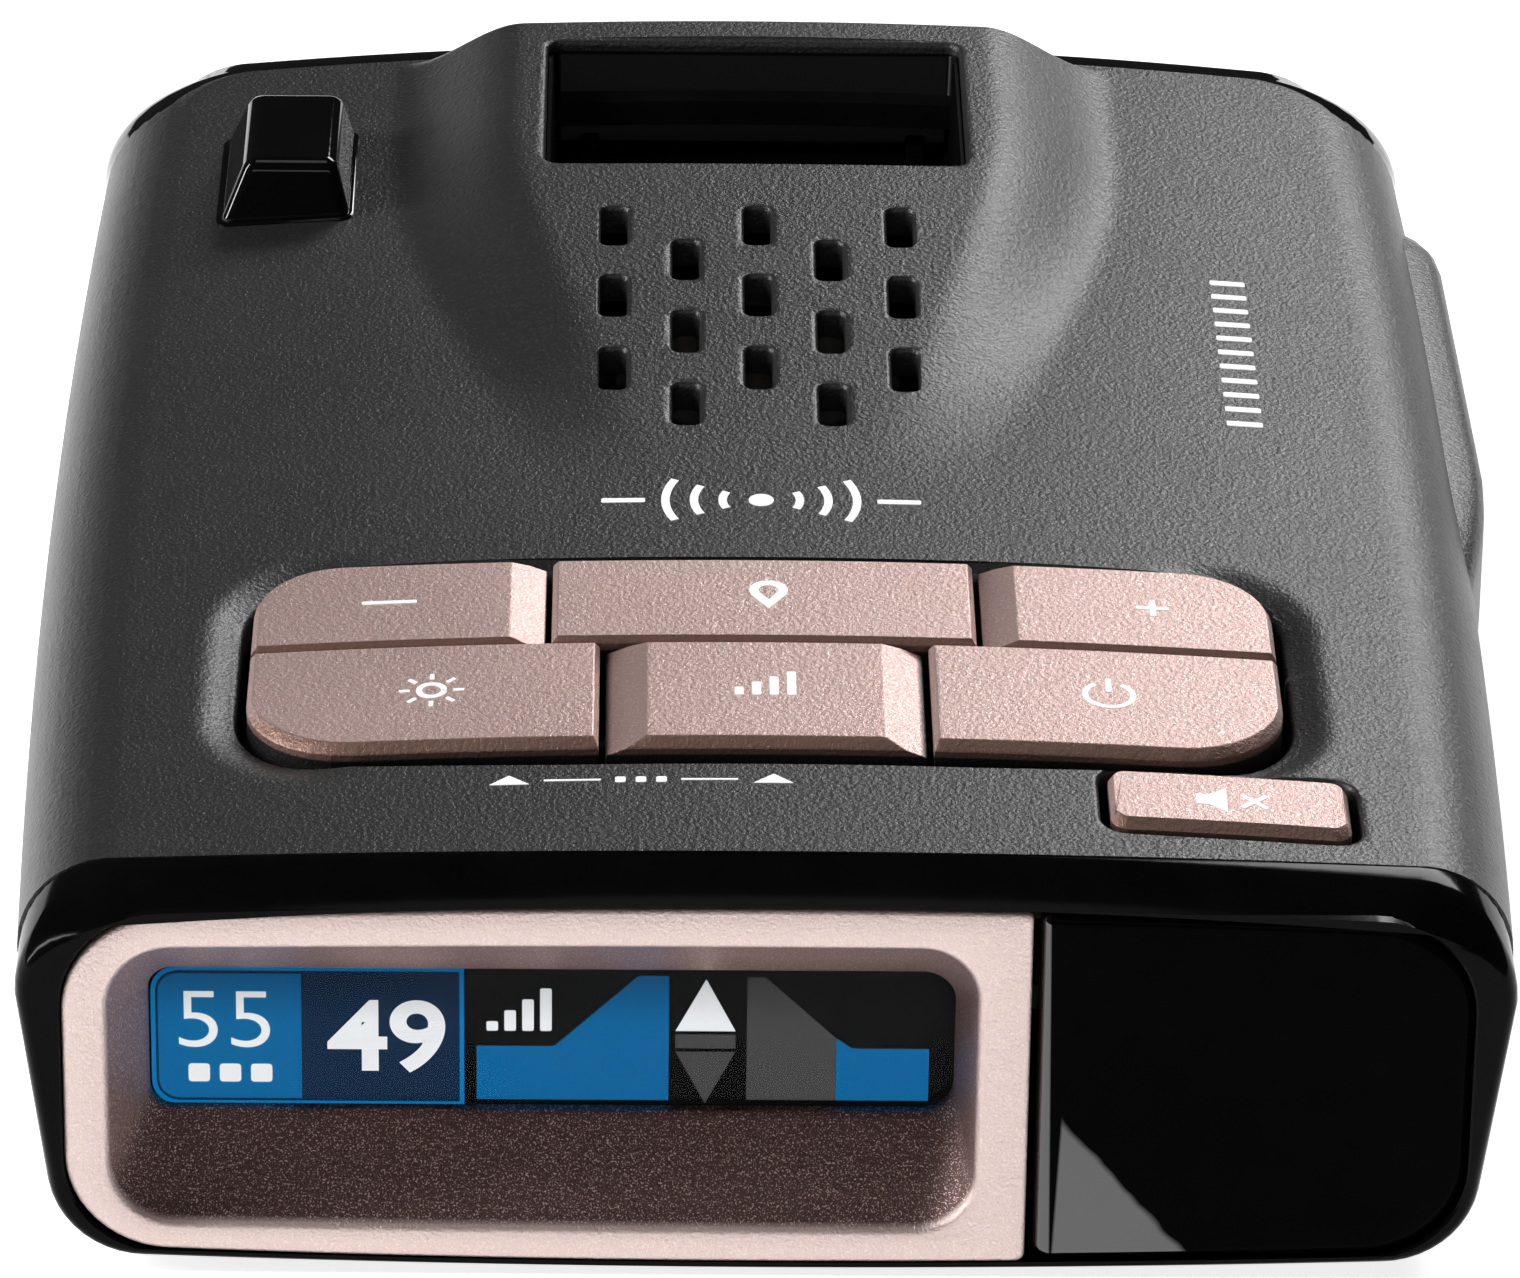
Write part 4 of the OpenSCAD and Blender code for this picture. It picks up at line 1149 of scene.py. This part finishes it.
KEYS = {
    "key_minus": dict(x0=-40, x1=-12.6, y0=28.18, y1=50, slopes=((-14.65, 1),), spot=(-21, 33), front=0.2),
    "key_mark": dict(x0=-12.25, x1=12.25, y0=28.18, y1=50, spot=(0, 33), front=0.2),
    "key_plus": dict(x0=12.6, x1=40, y0=28.18, y1=50, slopes=((14.65, -1),), spot=(21, 33), front=0.2),
    "key_brightness": dict(x0=-40, x1=-9.45, y0=0, y1=27.82, spot=(-19.5, 22)),
    "key_sensitivity": dict(x0=-9.1, x1=9.1, y0=0, y1=27.82, slopes=((6.75, 1), (-6.75, -1)), spot=(0, 22)),
    "key_power": dict(x0=9.45, x1=40, y0=0, y1=27.82, spot=(19.5, 22)),
    "key_mute": dict(x0=0, x1=60, y0=0, y1=60, outline=mute_outline(0.0), top=25.0, bottom=21.4,
                     spot=(26, 11.9)),
}
for name, spec in KEYS.items():
    ob = key(name + "_cap", **spec)
    finish_piece(ob, MUTE_ROSE if name == "key_mute" else KEY_ROSE, name + "_body", (name,))


# ---------------------------------------------------------------- printed marks
def printed(name, shapes, surface, body, thick=0.035):
    """Flat print that follows a surface; each shape is a closed outline."""
    obs = []
    for k, shape in enumerate(shapes):
        low = [(x, y, surface(x, y) - 0.05) for x, y in shape]
        high = [(x, y, surface(x, y) + thick) for x, y in shape]
        obs.append(loft("%s_%d" % (name, k), [low, high], close=False))
    ob = joined(name, obs) if len(obs) > 1 else obs[0]
    ob.name = name
    return finish_piece(ob, PRINT, body)


def bar(cx, cy, w, h, turn=0.0):
    c, s = math.cos(turn), math.sin(turn)
    return [(cx + x * c - y * s, cy + x * s + y * c)
            for x, y in rounded(-w / 2, w / 2, -h / 2, h / 2, min(w, h) * 0.2, 2)]


def arc_band(cx, cy, r, w, a0, a1, n=24):
    inner = arc(cx, cy, r - w / 2, a0, a1, n)
    outer_ring = arc(cx, cy, r + w / 2, a1, a0, n)
    return inner + outer_ring


def disc(cx, cy, r, n=24):
    return arc(cx, cy, r, 0, 360 * (n - 1) / n, n - 1)


key_face = lambda x, y: key_z(x)
printed("mark_minus", [bar(-21.7, 32.9, 3.2, 0.34)], key_face, "key_minus_body")
printed("mark_plus", [bar(22.6, 32.9, 1.95, 0.36), bar(22.6, 32.9, 0.36, 1.95)], key_face, "key_plus_body")
printed("mark_power", [arc_band(19.6, 22.35, 1.38, 0.34, 122, 418, 36), bar(19.6, 23.45, 0.34, 1.5)],
        key_face, "key_power_body")
printed("mark_place", [arc_band(0.3, 33.7, 0.85, 0.55, -45, 215, 26),
                       [(0.3 - 1.02, 33.15), (0.3, 31.5), (0.3 + 1.02, 33.15), (0.3 + 0.45, 33.3),
                        (0.3, 32.55), (0.3 - 0.45, 33.3)]], key_face, "key_mark_body")
printed("mark_sun", [arc_band(-19.0, 22.3, 0.72, 0.34, 0, 352, 30)] +
        [bar(-19.0 + 1.55 * math.cos(a * math.pi / 4), 22.3 + 1.55 * math.sin(a * math.pi / 4), 0.62, 0.26,
             a * math.pi / 4) for a in range(8)], key_face, "key_brightness_body")
printed("mark_level", [bar(-1.5 + i * 1.0, 21.5 + 0.3 * i + 0.25, 0.52, 0.9 + 0.6 * i) for i in range(4)],
        key_face, "key_sensitivity_body")
mute_face = lambda x, y: key_z(x, 25.0)
printed("mark_mute", [[(24.0, 11.15), (24.75, 11.15), (25.75, 10.35), (25.75, 13.05), (24.75, 12.25),
                       (24.0, 12.25)], bar(27.3, 11.7, 2.0, 0.32, math.pi / 4),
                      bar(27.3, 11.7, 2.0, 0.32, -math.pi / 4)], mute_face, "key_mute_body")
waves = [disc(0, 46.1, 0.75)]
for reach in (2.3, 4.0, 5.7):
    waves += [arc_band(0, 46.1, reach, 0.5, -26, 26, 10), arc_band(0, 46.1, reach, 0.5, 154, 206, 10)]
printed("wave_emblem", waves + [bar(8.2, 46.1, 2.6, 0.5), bar(-8.2, 46.1, 2.6, 0.5)], skin_z, "housing")
tick = loft("tick", [[(x, y, skin_z(29.5, 67) + up) for x, y in bar(29.5, 58.2, 2.2, 0.6)]
                     for up in (-0.6, 0.05)], close=False)
ticks = repeated("side_scale", tick, (1, 0.0), (11, 1.9), PRINT)
for v in ticks.data.vertices:
    x, y = v.co.x * 1e3 + SIDE_SHIFT, v.co.y * 1e3 + HALF_LENGTH
    v.co.z += (skin_z(x, y) - skin_z(29.5, 67)) * 1e-3
finish_piece(ticks, PRINT)
printed("program_marks", [[(-15.55, 12.5), (-13.3, 12.5), (-14.45, 13.5)],
                          [(-0.75, 12.5), (1.5, 12.5), (0.4, 13.5)],
                          bar(-10.9, 12.9, 3.2, 0.17), bar(-3.2, 12.9, 3.2, 0.17)] +
        [bar(-7.05 + i * 1.15, 12.9, 0.6, 0.6) for i in (-1, 0, 1)], skin_z, "housing")


# ---------------------------------------------------------------- mount pocket
def liner():
    """Open box with a rolled edge, a ledge and two rails for the bracket."""
    steps = ((-0.05, 19.6), (-0.05, 26.95), (-0.08, 27.12), (-0.3, 27.12), (-0.42, 27.0), (-0.6, 21.0),
             (-0.9, 20.8))
    ob = loft("mount_pocket_liner", stack([(pocket_outline(g), z) for g, z in steps]), close=False)
    ledge = bevelled(prism("ledge", rounded(-12.9, 12.9, 86.1, 88.9, 0.2, 2), 20.7, 22.9), 0.25, 3)
    rail = [bevelled(prism("rail", rounded(x - 0.6, x + 0.6, 89, 102.9, 0.2, 2), 20.7, 21.6), 0.2, 2)
            for x in (-10.6, 10.6)]
    ob = joined("mount_pocket_liner", [ob, ledge] + rail)
    smooth(ob.data, 34)
    return ob


finish_piece(liner(), LINER, nodes=("mount_pocket",))


# ---------------------------------------------------------------- underside
pad = turned("pad", -27, 14, ((3.2, 0.9), (4.0, 0.75), (4.0, 0.3), (3.8, 0.08), (3.4, 0.0), (2.9, 0.0), (2.7, 0.18),
                              (0.6, 0.18)))
finish_piece(repeated("foot_pad_set", pad, (2, 54.0), (2, 83.0), RUBBER), RUBBER, nodes=("foot_pads",))

screw = turned("screw", -34, 17, ((1.7, 2.2), (2.2, 2.28), (2.4, 2.55), (2.4, 3.95), (1.25, 3.95), (1.25, 15.7),
                                  (0.93, 15.9), (0.93, 19.8), (0.5, 20.1)), 32)
cross = [(0.25, 0.25), (0.25, 1.35), (-0.25, 1.35), (-0.25, 0.25), (-1.35, 0.25), (-1.35, -0.25),
         (-0.25, -0.25), (-0.25, -1.35), (0.25, -1.35), (0.25, -0.25), (1.35, -0.25), (1.35, 0.25)]
cut(screw, [loft("drive", [[(-34 + x * k, 17 + y * k, z) for x, y in cross]
                           for k, z in ((1.0, 1.8), (1.0, 2.3), (0.55, 3.3))], close=False)])
finish_piece(repeated("case_screw_set", screw, (2, 68.0), (2, 83.5), BLACK_STEEL), BLACK_STEEL,
             nodes=("case_screws",))

label = loft("rating_label_sheet", [[(x, y, z) for x, y in rounded(-18, 18, 42, 66, 1.0, 5)]
                                    for z in (0.62, 0.42, 0.38)], close=False)
finish_piece(label, LABEL, nodes=("rating_label",))

# ---------------------------------------------------------------- inside pieces keep their CAD shape
INSIDE = {
    "display_board": BOARD, "key_board": BOARD, "main_board": BOARD, "key_board_spacers": BRASS,
    "key_membrane": RUBBER, "key_switches": TIN, "mount_magnets": NICKEL, "speaker_frame": BASKET,
    "speaker_cone": CONE, "speaker_gasket": FOAM, "radar_horn": CAST, "rf_shield": TIN,
    "laser_sensor_ahead": SENSOR, "laser_sensor_behind": SENSOR, "gps_antenna": CERAMIC,
    "power_inlet": BASKET, "usb_inlet": TIN, "board_screws": TIN,
}
for node_name, material in INSIDE.items():
    for ob in bpy.data.objects:
        if ob.name == node_name or ob.name.startswith(node_name + "."):
            if ob.type == "MESH":
                ob.data.materials.clear()
                ob.data.materials.append(material)

# ---------------------------------------------------------------- floor, lights, camera
floor_mesh = bpy.data.meshes.new("floor")
floor_mesh.from_pydata([(-4, -4, 0), (4, -4, 0), (4, 4, 0), (-4, 4, 0)], [], [(0, 1, 2, 3)])
floor = placed("floor", floor_mesh)
pale = Paint("pale_floor", Roughness=0.9, Specular_IOR_Level=0.1)
pale.shader.inputs["Emission Color"].default_value = rgb(1, 1, 1)
pale.shader.inputs["Emission Strength"].default_value = 0.8
floor_mesh.materials.append(pale.set(Base_Color=pale.blend(pale.noise(0.01), rgb(0.93, 0.93, 0.93),
                                                             rgb(0.95, 0.95, 0.95))))


def light(name, spot, aim, size, power):
    data = bpy.data.lights.new(name, "AREA")
    data.shape = "RECTANGLE"
    data.size, data.size_y = size
    data.energy = power
    ob = placed(name, data)
    ob.location = spot
    ob.rotation_euler = (Vector(aim) - Vector(spot)).to_track_quat("-Z", "Y").to_euler()


def around(azimuth, elevation, distance):
    """A spot seen from the object: azimuth from straight behind towards the right."""
    a, e = math.radians(azimuth), math.radians(elevation)
    return (distance * math.sin(a) * math.cos(e), distance * math.cos(a) * math.cos(e),
            distance * math.sin(e) + 0.02)


light("key_behind_right", around(25, 31, 1.3), (0, 0, 0.02), (0.56, 0.38), 9.0)
light("strip_left", around(-94, 26, 1.0), (0, 0, 0.02), (0.13, 0.8), 10.5)
light("overhead", (0.0, 0.1, 1.6), (0, 0, 0), (0.5, 0.5), 1.2)
light("front_soft", around(180, 24, 1.5), (0, 0, 0.02), (1.3, 0.3), 1.8)

world = bpy.data.worlds.new("studio")
world.use_nodes = True
bpy.context.scene.world = world
back = world.node_tree.nodes["Background"]
back.inputs["Color"].default_value = (0.9, 0.9, 0.92, 1)
back.inputs["Strength"].default_value = 0.03

cam_data = bpy.data.cameras.new("camera")
cam = placed("camera", cam_data)
cam_data.sensor_fit = "HORIZONTAL"
cam_data.sensor_width = 36.0
cam_data.lens = 203.13
cam_data.clip_start, cam_data.clip_end = 0.01, 20
ELEV, AZIM, ROLL = math.radians(29.0), math.radians(-0.945), math.radians(0.851)
rear = Vector((math.sin(AZIM) * math.cos(ELEV), -math.cos(AZIM) * math.cos(ELEV), math.sin(ELEV)))
side = Vector((math.cos(AZIM), math.sin(AZIM), 0))
up = rear.cross(side)
right = math.cos(ROLL) * side + math.sin(ROLL) * up
top = -math.sin(ROLL) * side + math.cos(ROLL) * up
target = Vector(at(-0.255, 27.828, 25.414))
m = Matrix((right, top, rear)).transposed().to_4x4()
m.translation = target + rear * 0.49302
cam.matrix_world = m
bpy.context.scene.camera = cam

bpy.context.scene.view_settings.view_transform = "Standard"
bpy.context.scene.view_settings.look = "None"
